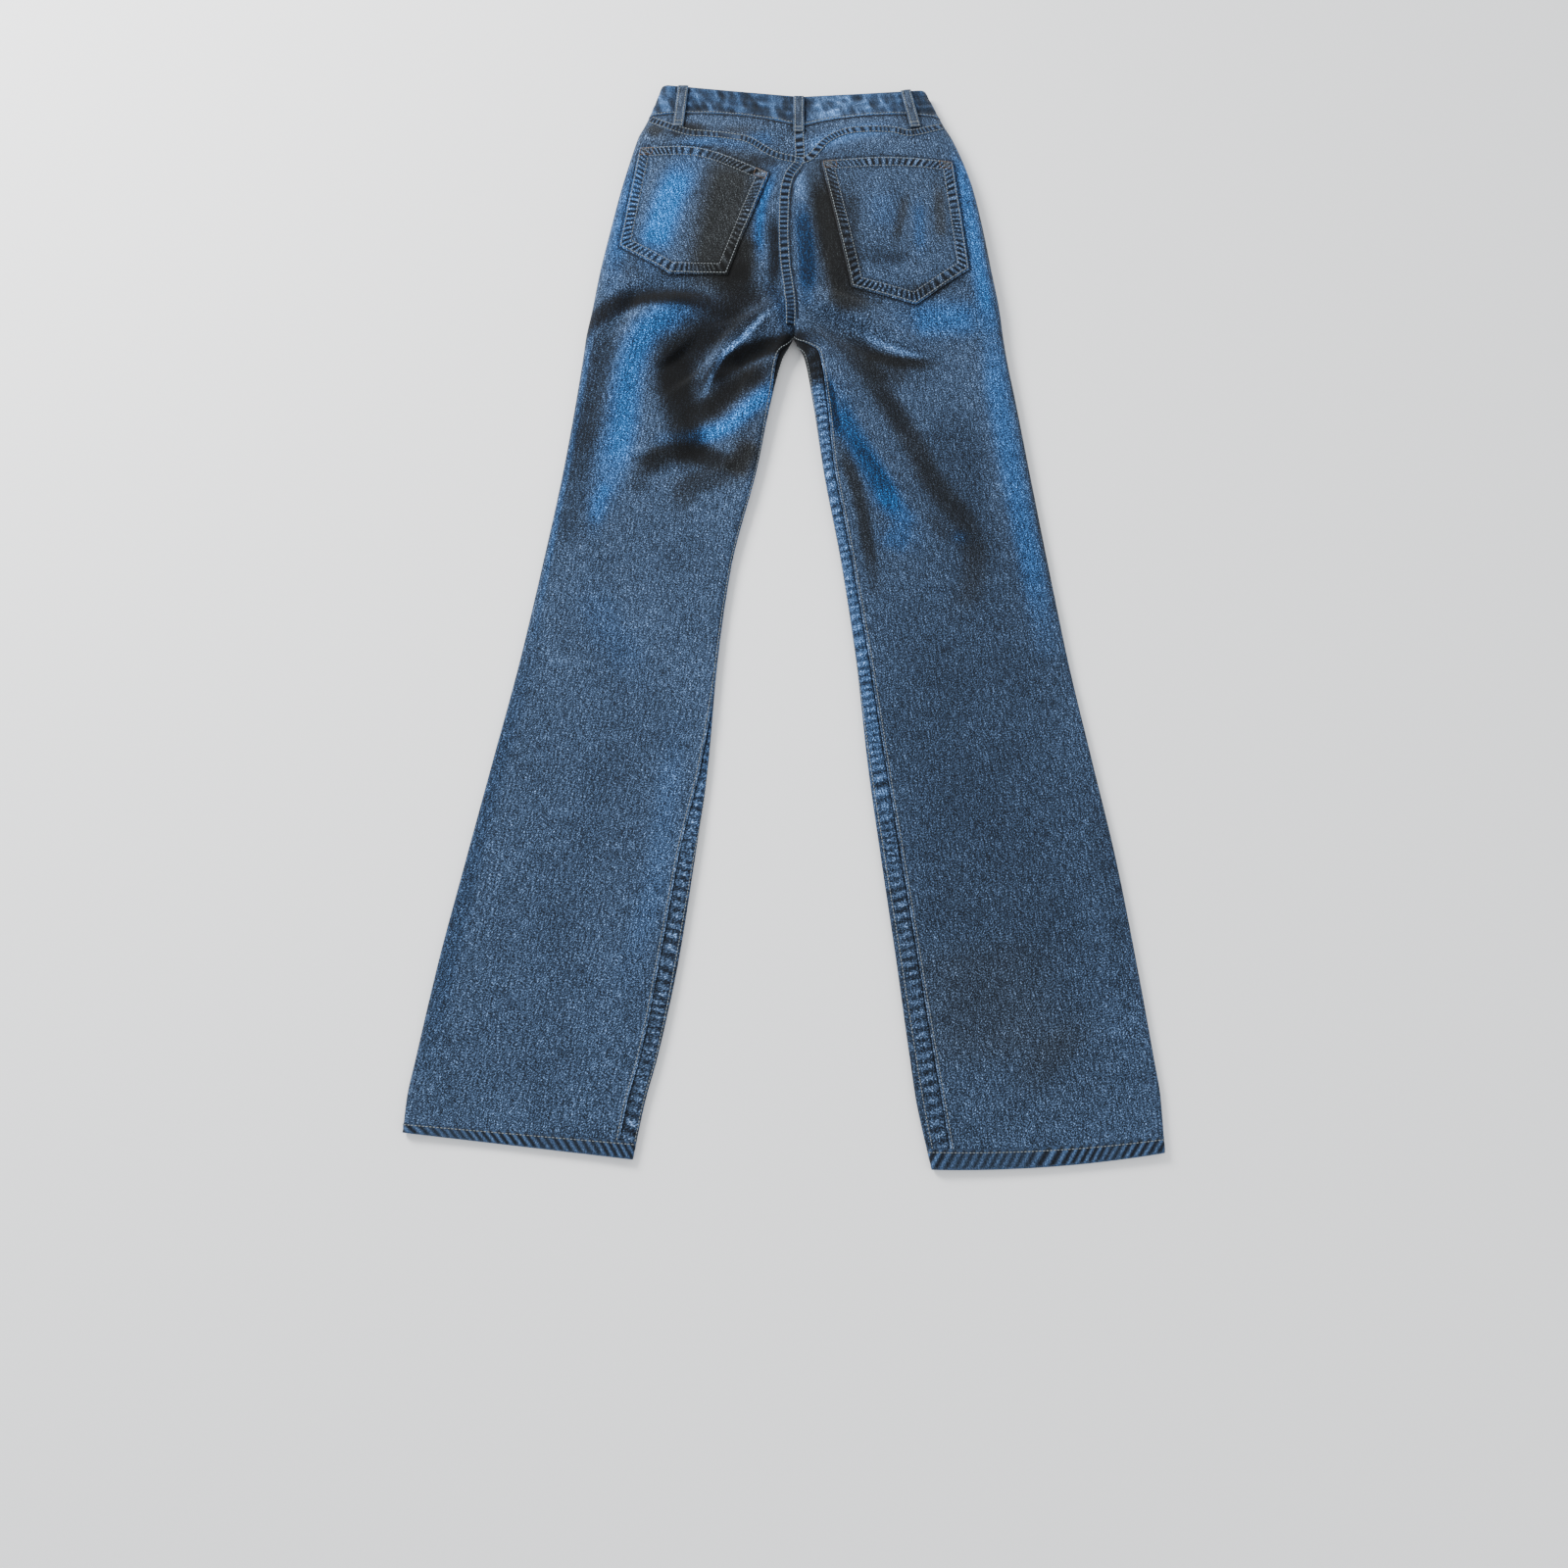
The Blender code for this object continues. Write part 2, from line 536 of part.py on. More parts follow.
def surface_at(side, x, y):
    """Height of the top surface at a place in plan."""
    table = {"left": LEFT, "right": RIGHT}[side]
    low, high = 0.0, WAIST_EDGE
    for _ in range(40):
        section = Section(table, (low + high) / 2)
        across = abs(x - section.out_x)
        if section.plan(across)[1] < y:
            low = section.along
        else:
            high = section.along
    return float(section.top(np.array([across]))[0])


def pocket(name, panel_points, corners):
    """A patch cut from the panel's own points inside its outline, then moved out."""
    rows, columns = panel_points.shape[:2]
    mesh = bmesh.new()
    bmesh.ops.create_grid(mesh, x_segments=columns - 1, y_segments=rows - 1, size=1)
    bmesh.ops.triangulate(mesh, faces=mesh.faces[:], quad_method="FIXED")
    for vert, point in zip(mesh.verts, panel_points.reshape(-1, 3)):
        vert.co = point
    corners = np.array(corners)
    middle = corners.mean(axis=0)
    for start, end in zip(corners, np.roll(corners, -1, axis=0)):
        run = end - start
        outward = np.array([run[1], -run[0]])
        outward *= np.sign(outward @ (start - middle))
        bmesh.ops.bisect_plane(
            mesh,
            geom=mesh.verts[:] + mesh.edges[:] + mesh.faces[:],
            dist=POCKET_CUT,
            plane_co=(*start, 0),
            plane_no=(*outward, 0),
            clear_outer=True,
        )
    bmesh.ops.dissolve_degenerate(mesh, dist=POCKET_SHORTEST, edges=mesh.edges[:])
    bmesh.ops.triangulate(mesh, faces=mesh.faces[:])
    bmesh.ops.recalc_face_normals(mesh, faces=mesh.faces[:])
    if sum(face.normal.z for face in mesh.faces) < 0:
        bmesh.ops.reverse_faces(mesh, faces=mesh.faces[:])
    mesh.normal_update()
    place = mesh.verts.layers.int.new("place")
    points = []
    normals = []
    for k, vert in enumerate(mesh.verts):
        vert[place] = k
        points.append(np.array(vert.co))
        normals.append(np.array(vert.normal))
    grown = bmesh.ops.extrude_face_region(mesh, geom=mesh.faces[:], use_keep_orig=True)
    lifted = {item for item in grown["geom"] if isinstance(item, bmesh.types.BMVert)}
    for vert in mesh.verts:
        k = vert[place]
        out = POCKET_GAP + (POCKET_CLOTH if vert in lifted else 0)
        vert.co = points[k] + normals[k] * out
    return finish(name, mesh, POCKET_BLUE)


def belt_loop(name, side, top, bottom):
    """A strap over the waistband and its seam, bowed a little off the band."""
    lower = np.zeros((LOOP_ROWS, 3, 3))
    upper = np.zeros((LOOP_ROWS, 3, 3))
    run = np.array(top) - np.array(bottom)
    sideways = np.array([run[1], -run[0]]) / np.hypot(*run) * LOOP_WIDTH / 2
    for row in range(LOOP_ROWS):
        share = row / (LOOP_ROWS - 1)
        middle = np.array(bottom) + run * share
        crown = max(surface_at(side, *(middle + k * sideways)) for k in (-1, 0, 1))
        clear = LOOP_CLEARANCE + LOOP_BOW * np.sin(pi * share)
        for column, k in enumerate((-1, 0, 1)):
            x, y = middle + k * sideways
            own = surface_at(side, x, y)
            base = (crown + own) / 2 if own > crown - LOOP_STEP else own + LOOP_REST
            thick = LOOP_CLOTH * (1 if k == 0 else LOOP_EDGE)
            lower[row, column] = (x, y, base + clear)
            upper[row, column] = (x, y, base + clear + thick)
    return solid(name, upper, lower, LOOP_BLUE)


def front_loop(name, x):
    """A strap under the front waistband, flat on the floor."""
    mesh = bmesh.new()
    bmesh.ops.create_cube(mesh, size=1)
    section = Section(LEFT if x < CENTRE_X else RIGHT, WAIST_EDGE)
    across = abs(x - section.out_x)
    end = section.point(across, 0.0, FRONT_DIP)[1] + FRONT_LOOP_REACH
    bmesh.ops.scale(mesh, vec=(LOOP_WIDTH, FRONT_LOOP_LENGTH, FRONT_LOOP_CLOTH), verts=mesh.verts[:])
    centre = (x, end - FRONT_LOOP_LENGTH / 2, FRONT_LOOP_CLOTH / 2)
    bmesh.ops.translate(mesh, vec=centre, verts=mesh.verts[:])
    return finish(name, mesh, LOOP_BLUE)


def waist_button():
    """A tapered disc under the lapped front ends of the waistband."""
    section = Section(LEFT, (WAIST_LINE + WAIST_EDGE) / 2)
    middle = section.point(section.width, 0.0, FRONT_DIP)
    mesh = bmesh.new()
    bmesh.ops.create_cone(
        mesh,
        cap_ends=True,
        segments=BUTTON_SIDES,
        radius1=BUTTON_RADIUS,
        radius2=BUTTON_RADIUS * BUTTON_TAPER,
        depth=BUTTON_HEIGHT,
    )
    bmesh.ops.translate(mesh, vec=(middle[0], middle[1], BUTTON_HEIGHT / 2), verts=mesh.verts[:])
    piece = finish("waist_button", mesh, BRASS)
    shader = piece.data.materials[0].node_tree.nodes["Principled BSDF"]
    shader.inputs["Metallic"].default_value = 1.0
    shader.inputs["Roughness"].default_value = BRASS_ROUGHNESS
    return piece


def panel_cloth(level):
    """A panel's thickness at a level: its cloth is turned up at the hem."""
    return HEM_CLOTH if level < HEM_DEPTH else CLOTH


def panel_levels():
    """Levels of the panels' sections, from the hem to the yoke seam."""
    hem = [0.0, HEM_DEPTH - HEM_STEP, HEM_DEPTH + HEM_STEP]
    leg = np.linspace(*LEG_LEVELS)
    thigh = np.linspace(*THIGH_LEVELS)
    seat = np.linspace(SEAT_START, YOKE_LINE - SEAM_GAP / 2, SEAT_ROWS)
    return [*hem, *leg, *thigh, *FORK_LEVELS, *seat]


def build():
    """The whole garment."""
    for old in list(bpy.data.objects):
        bpy.data.objects.remove(old)
    levels = panel_levels()
    yoke_levels = [*np.linspace(YOKE_LINE + SEAM_GAP / 2, WAIST_LINE - SEAM_GAP / 2, YOKE_ROWS)]
    for side, table, sign in (("left", LEFT, 1), ("right", RIGHT, -1)):
        back = lambda level: back_line(table, level)
        front = lambda level: front_line(table, level)
        yoke = lambda level: yoke_line(table, level)
        wall("back_" + side, back, levels, panel_cloth, PANEL_BLUE, sign, -1)
        wall("front_" + side, front, levels + yoke_levels, panel_cloth, PANEL_BLUE, sign, 0)
        wall("yoke_" + side, yoke, yoke_levels, panel_cloth, YOKE_BLUE, sign, -1)
        points = np.array([back(level)[0] for level in levels])
        pocket("pocket_" + side, points[:, OUTER_STEPS:], POCKETS[side])
    band_levels = [*np.linspace(WAIST_LINE + SEAM_GAP / 2, WAIST_EDGE, BAND_ROWS)]
    wall("waistband", band_line, band_levels, lambda level: BAND_CLOTH, BAND_BLUE, 1,
         square=True)
    for name, (side, top, bottom) in BACK_LOOPS.items():
        belt_loop(name, side, top, bottom)
    front_loop("loop_front_left", FRONT_LOOP_LEFT)
    front_loop("loop_front_right", FRONT_LOOP_RIGHT)
    waist_button()


build()
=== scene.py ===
"""Flare jeans laid out flat with the back side up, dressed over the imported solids.

Each half is drawn again from the same tables as its solids, on finer grids, with the small
creases, the turned hems, the felled seams, the pockets' borders and the stitches added.
"""
from collections import namedtuple
from math import pi, radians

import bmesh
import bpy
import numpy as np
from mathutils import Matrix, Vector
from mathutils.bvhtree import BVHTree


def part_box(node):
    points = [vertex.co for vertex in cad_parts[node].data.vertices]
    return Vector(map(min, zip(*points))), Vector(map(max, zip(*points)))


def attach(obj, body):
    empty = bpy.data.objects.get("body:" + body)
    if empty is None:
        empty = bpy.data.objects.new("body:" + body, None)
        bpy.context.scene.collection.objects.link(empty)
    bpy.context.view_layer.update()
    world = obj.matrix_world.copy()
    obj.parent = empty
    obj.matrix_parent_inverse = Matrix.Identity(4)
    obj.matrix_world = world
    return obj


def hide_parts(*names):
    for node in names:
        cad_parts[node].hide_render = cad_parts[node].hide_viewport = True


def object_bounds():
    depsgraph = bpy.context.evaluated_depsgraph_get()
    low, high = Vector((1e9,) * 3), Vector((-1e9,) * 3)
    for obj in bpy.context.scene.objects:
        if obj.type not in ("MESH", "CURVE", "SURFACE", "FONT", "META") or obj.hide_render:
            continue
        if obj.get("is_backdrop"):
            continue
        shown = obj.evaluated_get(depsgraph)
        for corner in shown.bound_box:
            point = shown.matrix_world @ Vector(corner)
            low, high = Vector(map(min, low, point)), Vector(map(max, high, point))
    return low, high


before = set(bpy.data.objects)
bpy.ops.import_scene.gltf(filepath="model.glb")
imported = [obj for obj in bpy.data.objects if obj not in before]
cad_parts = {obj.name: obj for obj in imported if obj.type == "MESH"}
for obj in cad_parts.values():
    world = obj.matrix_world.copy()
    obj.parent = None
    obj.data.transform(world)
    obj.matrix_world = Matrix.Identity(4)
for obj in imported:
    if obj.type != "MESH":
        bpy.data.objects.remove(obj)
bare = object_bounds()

# Cloth and seams
CLOTH = 0.0012
SEAM_GAP = 0.0003
HEM_DEPTH = 0.0165
HEM_CLOTH = 0.0022
BAND_CLOTH = 0.0024

# Levels along a leg, measured from the hem
FORK = 0.835
YOKE_LINE = 1.035
WAIST_LINE = 1.085
WAIST_EDGE = 1.128

# Front waistband, lifted off the floor by its loops and its button
FRONT_LIFT = 0.0017
BUTTON_LIFT = 0.0009
BUTTON_REACH = 0.030
LIFT_START = 0.062
LIFT_END = 0.022
FRONT_DIP = 0.012
LAP = 0.020
LAP_RISE = 0.0028

BUTTON_RADIUS = 0.0085
BUTTON_HEIGHT = 0.0021
LOOP_WIDTH = 0.0115
LOOP_CLOTH = 0.0016
FRONT_LOOP_CLOTH = 0.0013
FRONT_LOOP_LENGTH = 0.050
POCKET_CLOTH = 0.0013

# The tables are in plan as drawn; this moves the middle of the outline to the origin
TO_MIDDLE = (0.0008, 0.0076, 0.0)

# Where the outline of each half runs: the outer and the inner edge, how far the inseam lies
# from the inner edge, measured over the top, and how far the line between them bows to +Y
Station = namedtuple("Station", "along out_x out_y in_x in_y inseam bow")
LEFT = [
    Station(0.000, -0.3500, -0.5490, -0.1380, -0.5730, 0.017, 0.000),
    Station(0.055, -0.3480, -0.5174, -0.1272, -0.5185, 0.018, 0.000),
    Station(0.090, -0.3420, -0.4820, -0.1175, -0.4820, 0.018, 0.000),
    Station(0.183, -0.3255, -0.3900, -0.0990, -0.3900, 0.020, 0.000),
    Station(0.277, -0.3055, -0.2960, -0.0856, -0.2960, 0.018, 0.000),
    Station(0.373, -0.2847, -0.1996, -0.0736, -0.1996, 0.009, 0.000),
    Station(0.474, -0.2631, -0.0995, -0.0661, -0.0995, 0.002, 0.000),
    Station(0.577, -0.2440, 0.0044, -0.0533, 0.0044, 0.001, 0.000),
    Station(0.684, -0.2260, 0.1110, -0.0281, 0.1110, 0.001, 0.000),
    Station(0.761, -0.2156, 0.1880, -0.0132, 0.1880, 0.004, 0.000),
    Station(0.811, -0.2097, 0.2380, -0.0010, 0.2380, 0.009, 0.000),
    Station(0.835, -0.2072, 0.2620, 0.0100, 0.2620, 0.0, 0.000),
    Station(0.862, -0.2022, 0.2900, 0.0100, 0.2880, 0.0, 0.000),
    Station(0.909, -0.1952, 0.3360, 0.0048, 0.3320, 0.0, 0.000),
    Station(0.956, -0.1862, 0.3830, 0.0026, 0.3740, 0.0, 0.000),
    Station(1.000, -0.1750, 0.4380, 0.0040, 0.4220, 0.0, 0.003),
    Station(1.019, -0.1675, 0.4690, 0.0090, 0.4440, 0.0, 0.008),
    Station(1.035, -0.1585, 0.5020, 0.0195, 0.4616, 0.0, 0.013),
    Station(1.060, -0.1535, 0.5130, 0.0195, 0.4860, 0.0, 0.011),
    Station(1.085, -0.1480, 0.5260, 0.0190, 0.5090, 0.0, 0.007),
    Station(1.128, -0.1345, 0.5670, 0.0180, 0.5490, 0.0, -0.001),
]
RIGHT = [
    Station(0.000, 0.3485, -0.5670, 0.1345, -0.5820, 0.022, -0.005),
    Station(0.055, 0.3475, -0.5174, 0.1212, -0.5190, 0.026, -0.002),
    Station(0.090, 0.3435, -0.4820, 0.1165, -0.4820, 0.025, 0.000),
    Station(0.183, 0.3320, -0.3900, 0.1054, -0.3900, 0.023, 0.000),
    Station(0.277, 0.3187, -0.2960, 0.0930, -0.2960, 0.022, 0.000),
    Station(0.373, 0.3010, -0.1996, 0.0813, -0.1996, 0.020, 0.000),
    Station(0.474, 0.2826, -0.0995, 0.0718, -0.0995, 0.016, 0.000),
    Station(0.577, 0.2667, 0.0044, 0.0583, 0.0044, 0.014, 0.000),
    Station(0.684, 0.2511, 0.1110, 0.0401, 0.1110, 0.015, 0.000),
    Station(0.761, 0.2400, 0.1880, 0.0294, 0.1880, 0.019, 0.000),
    Station(0.811, 0.2323, 0.2380, 0.0205, 0.2380, 0.021, 0.000),
    Station(0.835, 0.2295, 0.2620, 0.0100, 0.2620, 0.0, 0.000),
    Station(0.862, 0.2270, 0.2900, 0.0100, 0.2880, 0.0, 0.000),
    Station(0.909, 0.2202, 0.3360, 0.0048, 0.3320, 0.0, 0.000),
    Station(0.956, 0.2134, 0.3830, 0.0026, 0.3740, 0.0, 0.000),
    Station(1.000, 0.2034, 0.4380, 0.0040, 0.4220, 0.0, 0.003),
    Station(1.019, 0.1945, 0.4690, 0.0090, 0.4440, 0.0, 0.008),
    Station(1.035, 0.1830, 0.4990, 0.0195, 0.4616, 0.0, 0.013),
    Station(1.060, 0.1770, 0.5110, 0.0195, 0.4860, 0.0, 0.011),
    Station(1.085, 0.1710, 0.5240, 0.0190, 0.5090, 0.0, 0.007),
    Station(1.128, 0.1560, 0.5600, 0.0180, 0.5490, 0.0, -0.001),
]

# How the sections are lofted: heights over the floor, widths of the rolled edges, the parts
# of the inner height that the top drops and the floor rises at the inner edge, and how
# round that drop is
Loft = namedtuple("Loft", "along out_height middle_height in_height out_roll in_roll drop rise round")
LOFTS = [
    Loft(0.000, 0.0078, 0.0062, 0.0078, 0.0050, 0.0050, 0.50, 0.50, 2.0),
    Loft(0.183, 0.0088, 0.0064, 0.0088, 0.0055, 0.0055, 0.50, 0.50, 2.0),
    Loft(0.474, 0.0098, 0.0068, 0.0100, 0.0060, 0.0060, 0.50, 0.50, 2.0),
    Loft(0.684, 0.0125, 0.0085, 0.0140, 0.0080, 0.0080, 0.50, 0.50, 2.0),
    Loft(0.811, 0.0155, 0.0150, 0.0200, 0.0100, 0.0100, 0.50, 0.50, 2.0),
    Loft(0.835, 0.0165, 0.0190, 0.0220, 0.0110, 0.0110, 0.50, 0.50, 2.0),
    Loft(0.845, 0.0170, 0.0210, 0.0240, 0.0115, 0.0130, 0.26, 0.16, 1.7),
    Loft(0.862, 0.0178, 0.0240, 0.0260, 0.0120, 0.0160, 0.08, 0.00, 1.3),
    Loft(0.909, 0.0190, 0.0300, 0.0280, 0.0130, 0.0200, 0.04, 0.00, 1.0),
    Loft(0.956, 0.0190, 0.0310, 0.0285, 0.0130, 0.0200, 0.03, 0.00, 1.0),
    Loft(1.035, 0.0175, 0.0260, 0.0260, 0.0120, 0.0200, 0.02, 0.00, 1.0),
    Loft(1.085, 0.0155, 0.0205, 0.0210, 0.0100, 0.0200, 0.00, 0.00, 1.0),
    Loft(1.128, 0.0140, 0.0165, 0.0170, 0.0090, 0.0200, 0.00, 0.00, 1.0),
]

# The largest folds, each along a path in plan. A wide side and a narrow side make a fold
# lean; a height below zero is a trough
Fold = namedtuple("Fold", "height side_a side_b path")
FOLDS = [
    # Left leg: the arc under the pocket with its trough, the hollow and the ridge beside it
    Fold(0.0045, 0.012, 0.015, [(-0.2080, 0.0875), (-0.1775, 0.1967), (-0.1533, 0.2719),
                                (-0.1124, 0.2918), (-0.0714, 0.2888)]),
    Fold(-0.0045, 0.009, 0.009, [(-0.1850, 0.2510), (-0.1537, 0.3091), (-0.1125, 0.3130),
                                 (-0.0663, 0.3030)]),
    Fold(-0.0075, 0.022, 0.026, [(-0.1150, 0.2450), (-0.0900, 0.2150)]),
    Fold(0.0070, 0.014, 0.007, [(-0.0051, 0.2956), (-0.0561, 0.2549), (-0.0733, 0.2288),
                                (-0.0790, 0.1910)]),
    Fold(-0.0060, 0.009, 0.010, [(-0.0102, 0.2486), (-0.0559, 0.2230)]),
    Fold(0.0035, 0.013, 0.015, [(-0.0152, 0.2107), (-0.0504, 0.1631), (-0.1109, 0.1481)]),
    Fold(-0.0028, 0.014, 0.016, [(-0.0705, 0.1368), (-0.1404, 0.1002)]),
    Fold(0.0025, 0.011, 0.013, [(-0.2080, 0.0875), (-0.1978, 0.0243), (-0.1769, -0.0375)]),
    # Right leg: the ridge under the seat with its trough, and the long fold down the thigh
    Fold(0.0065, 0.007, 0.015, [(0.1529, 0.2382), (0.1224, 0.2504), (0.0612, 0.2800),
                                (0.0102, 0.3000)]),
    Fold(-0.0050, 0.009, 0.009, [(0.0260, 0.2820), (0.0620, 0.2580), (0.1150, 0.2310)]),
    Fold(0.0055, 0.009, 0.010, [(0.0255, 0.2693), (0.0508, 0.2276), (0.0808, 0.1744)]),
    Fold(0.0028, 0.020, 0.018, [(0.0605, 0.1628), (0.1295, 0.0670)]),
    Fold(-0.0034, 0.017, 0.015, [(0.0815, 0.2350), (0.1404, 0.1102), (0.1732, 0.0246),
                                 (0.1855, -0.0590)]),
    Fold(0.0030, 0.012, 0.012, [(0.2150, 0.2510), (0.2240, 0.1086), (0.2330, -0.0699)]),
    # Seat: beside the centre seam and across the pockets
    Fold(-0.0035, 0.009, 0.009, [(0.0365, 0.4407), (0.0430, 0.3223)]),
    Fold(0.0028, 0.010, 0.010, [(0.0278, 0.3900), (0.0300, 0.3009)]),
    Fold(-0.0022, 0.010, 0.010, [(0.1269, 0.4332), (0.1212, 0.3412)]),
    Fold(-0.0028, 0.022, 0.020, [(-0.0520, 0.4278), (-0.0871, 0.3337)]),
    # Lower legs: shallow sags between the knees and the hems
    Fold(-0.0012, 0.020, 0.020, [(-0.1500, -0.0600), (-0.1700, -0.2300), (-0.2100, -0.4200)]),
    Fold(-0.0012, 0.020, 0.020, [(0.1750, -0.0900), (0.2050, -0.2600), (0.2350, -0.4400)]),
]

# Back pockets by their corners in plan, round from the top outer or inner one
POCKETS = {
    "left": [(-0.1552, 0.4821), (-0.0894, 0.4807), (-0.0157, 0.4445),
             (-0.0593, 0.3211), (-0.1199, 0.3247), (-0.1737, 0.3598)],
    "right": [(0.0398, 0.4596), (0.1101, 0.4665), (0.1809, 0.4638),
              (0.1944, 0.3325), (0.1380, 0.2909), (0.0705, 0.3083)],
}

# Belt loops on the back, from the edge of the waistband to below its seam
BACK_LOOPS = {
    "loop_back_left": ("left", (-0.1100, 0.5630), (-0.1143, 0.5076)),
    "loop_back_centre": ("left", (0.0160, 0.5482), (0.0159, 0.5004)),
    "loop_back_right": ("right", (0.1328, 0.5572), (0.1419, 0.5064)),
}
EDGE_STEPS = 24
CENTRE_X = LEFT[-1].in_x
BACK_COLUMNS = 104
BACK_ROWS = 390
YOKE_ROWS = 56
FRONT_ROWS = 330
HEM_COLUMNS = 340
BAND_ROWS = 34
BAND_COLUMNS = 150
FLOOR_COLUMNS = 46
TWO_SIDES = (-1, 1)

# Dye and thread, as linear colours. The grey dye is also the hue of the painted shade,
# and the blue dye that of the painted light
GREY_DYE_AND_SHADE = (0.079, 0.091, 0.101, 1)
BLUE_DYE_AND_LIGHT = (0.011, 0.093, 0.280, 1)
BEIGE_THREAD = (0.17, 0.19, 0.20, 1)
TAN_THREAD = (0.15, 0.095, 0.055, 1)
BASE_TONE = -1.42
BASE_BLUE = 0.38

WORLD_LIGHT = 1.0
LIGHTS = [
    ("key_light", (-1.6, 1.3, 1.5), (1.0, 1.0), 110.0),
    ("fill_light", (1.4, -1.2, 2.0), (2.0, 2.0), 14.0),
]

# Where the yoke seams run, sewn flat with two rows of stitches
YOKE_SEAMS = {
    "left": [(-0.1600, 0.5240), (-0.1494, 0.5225), (-0.1300, 0.5110), (-0.1035, 0.4986),
             (-0.0823, 0.4952), (-0.0421, 0.4878), (-0.0105, 0.4683), (0.0195, 0.4616)],
    "right": [(0.0195, 0.4616), (0.0294, 0.4666), (0.0474, 0.4883), (0.0739, 0.5000),
              (0.1162, 0.5012), (0.1373, 0.4976), (0.1758, 0.5120), (0.1850, 0.5150)],
}

# Smaller creases between the largest folds
CREASES = [
    # Knees: shallow ripples across both legs
    Fold(0.0008, 0.006, 0.004, [(-0.2350, 0.0250), (-0.1950, 0.0150), (-0.1550, 0.0220)]),
    Fold(0.0009, 0.006, 0.004, [(-0.2300, -0.0180), (-0.1800, -0.0290), (-0.1300, -0.0230)]),
    Fold(0.0007, 0.005, 0.004, [(-0.2000, -0.0560), (-0.1550, -0.0620), (-0.1150, -0.0520)]),
    Fold(0.0008, 0.006, 0.004, [(-0.1500, 0.0700), (-0.1150, 0.0600), (-0.0800, 0.0680)]),
    Fold(0.0006, 0.005, 0.004, [(-0.2450, -0.0900), (-0.2000, -0.1000), (-0.1600, -0.0930)]),
    Fold(0.0008, 0.006, 0.004, [(0.1100, 0.0420), (0.1500, 0.0310), (0.1900, 0.0370)]),
    Fold(0.0009, 0.006, 0.004, [(0.1150, -0.0080), (0.1700, -0.0190), (0.2300, -0.0120)]),
    Fold(0.0007, 0.005, 0.004, [(0.1450, -0.0600), (0.1950, -0.0700), (0.2500, -0.0610)]),
    Fold(0.0006, 0.005, 0.004, [(0.1050, -0.1000), (0.1500, -0.1100), (0.2000, -0.1040)]),
    # Below the left pocket and towards the fork
    Fold(0.0016, 0.004, 0.006, [(-0.1250, 0.2050), (-0.1080, 0.1720), (-0.1000, 0.1420)]),
    Fold(0.0014, 0.005, 0.003, [(-0.0350, 0.2780), (-0.0560, 0.2690), (-0.0800, 0.2640)]),
    Fold(0.0012, 0.004, 0.003, [(-0.0180, 0.2320), (-0.0400, 0.2060), (-0.0480, 0.1800)]),
    Fold(-0.0014, 0.005, 0.005, [(-0.0150, 0.1950), (-0.0380, 0.1500), (-0.0420, 0.1100)]),
    Fold(0.0012, 0.006, 0.004, [(-0.1700, 0.1300), (-0.1400, 0.1320), (-0.1180, 0.1250)]),
    Fold(0.0010, 0.006, 0.005, [(-0.0900, 0.0980), (-0.0650, 0.1100), (-0.0480, 0.1220)]),
    # Below the right pocket and along the inner thigh
    Fold(0.0016, 0.004, 0.006, [(0.0350, 0.3050), (0.0700, 0.2930), (0.1050, 0.2820)]),
    Fold(-0.0014, 0.005, 0.005, [(0.0330, 0.2900), (0.0680, 0.2700), (0.1000, 0.2600)]),
    Fold(0.0012, 0.005, 0.004, [(0.0380, 0.2350), (0.0560, 0.1950), (0.0650, 0.1500)]),
    Fold(0.0012, 0.006, 0.005, [(0.0850, 0.1400), (0.1050, 0.1100), (0.1200, 0.0700)]),
    Fold(0.0010, 0.006, 0.005, [(0.1500, 0.2000), (0.1750, 0.1500), (0.1850, 0.1000)]),
    # Seat
    Fold(0.0010, 0.005, 0.004, [(-0.0250, 0.4350), (-0.0400, 0.3900), (-0.0450, 0.3500)]),
    Fold(0.0010, 0.004, 0.004, [(0.0180, 0.4100), (0.0220, 0.3700), (0.0200, 0.3300)]),
    Fold(0.0012, 0.005, 0.004, [(-0.1250, 0.3150), (-0.1000, 0.3110), (-0.0750, 0.3080)]),
    Fold(0.0008, 0.005, 0.004, [(-0.0900, 0.4900), (-0.0600, 0.4880), (-0.0350, 0.4800)]),
    Fold(0.0008, 0.005, 0.004, [(0.0600, 0.4800), (0.0950, 0.4850), (0.1300, 0.4810)]),
]
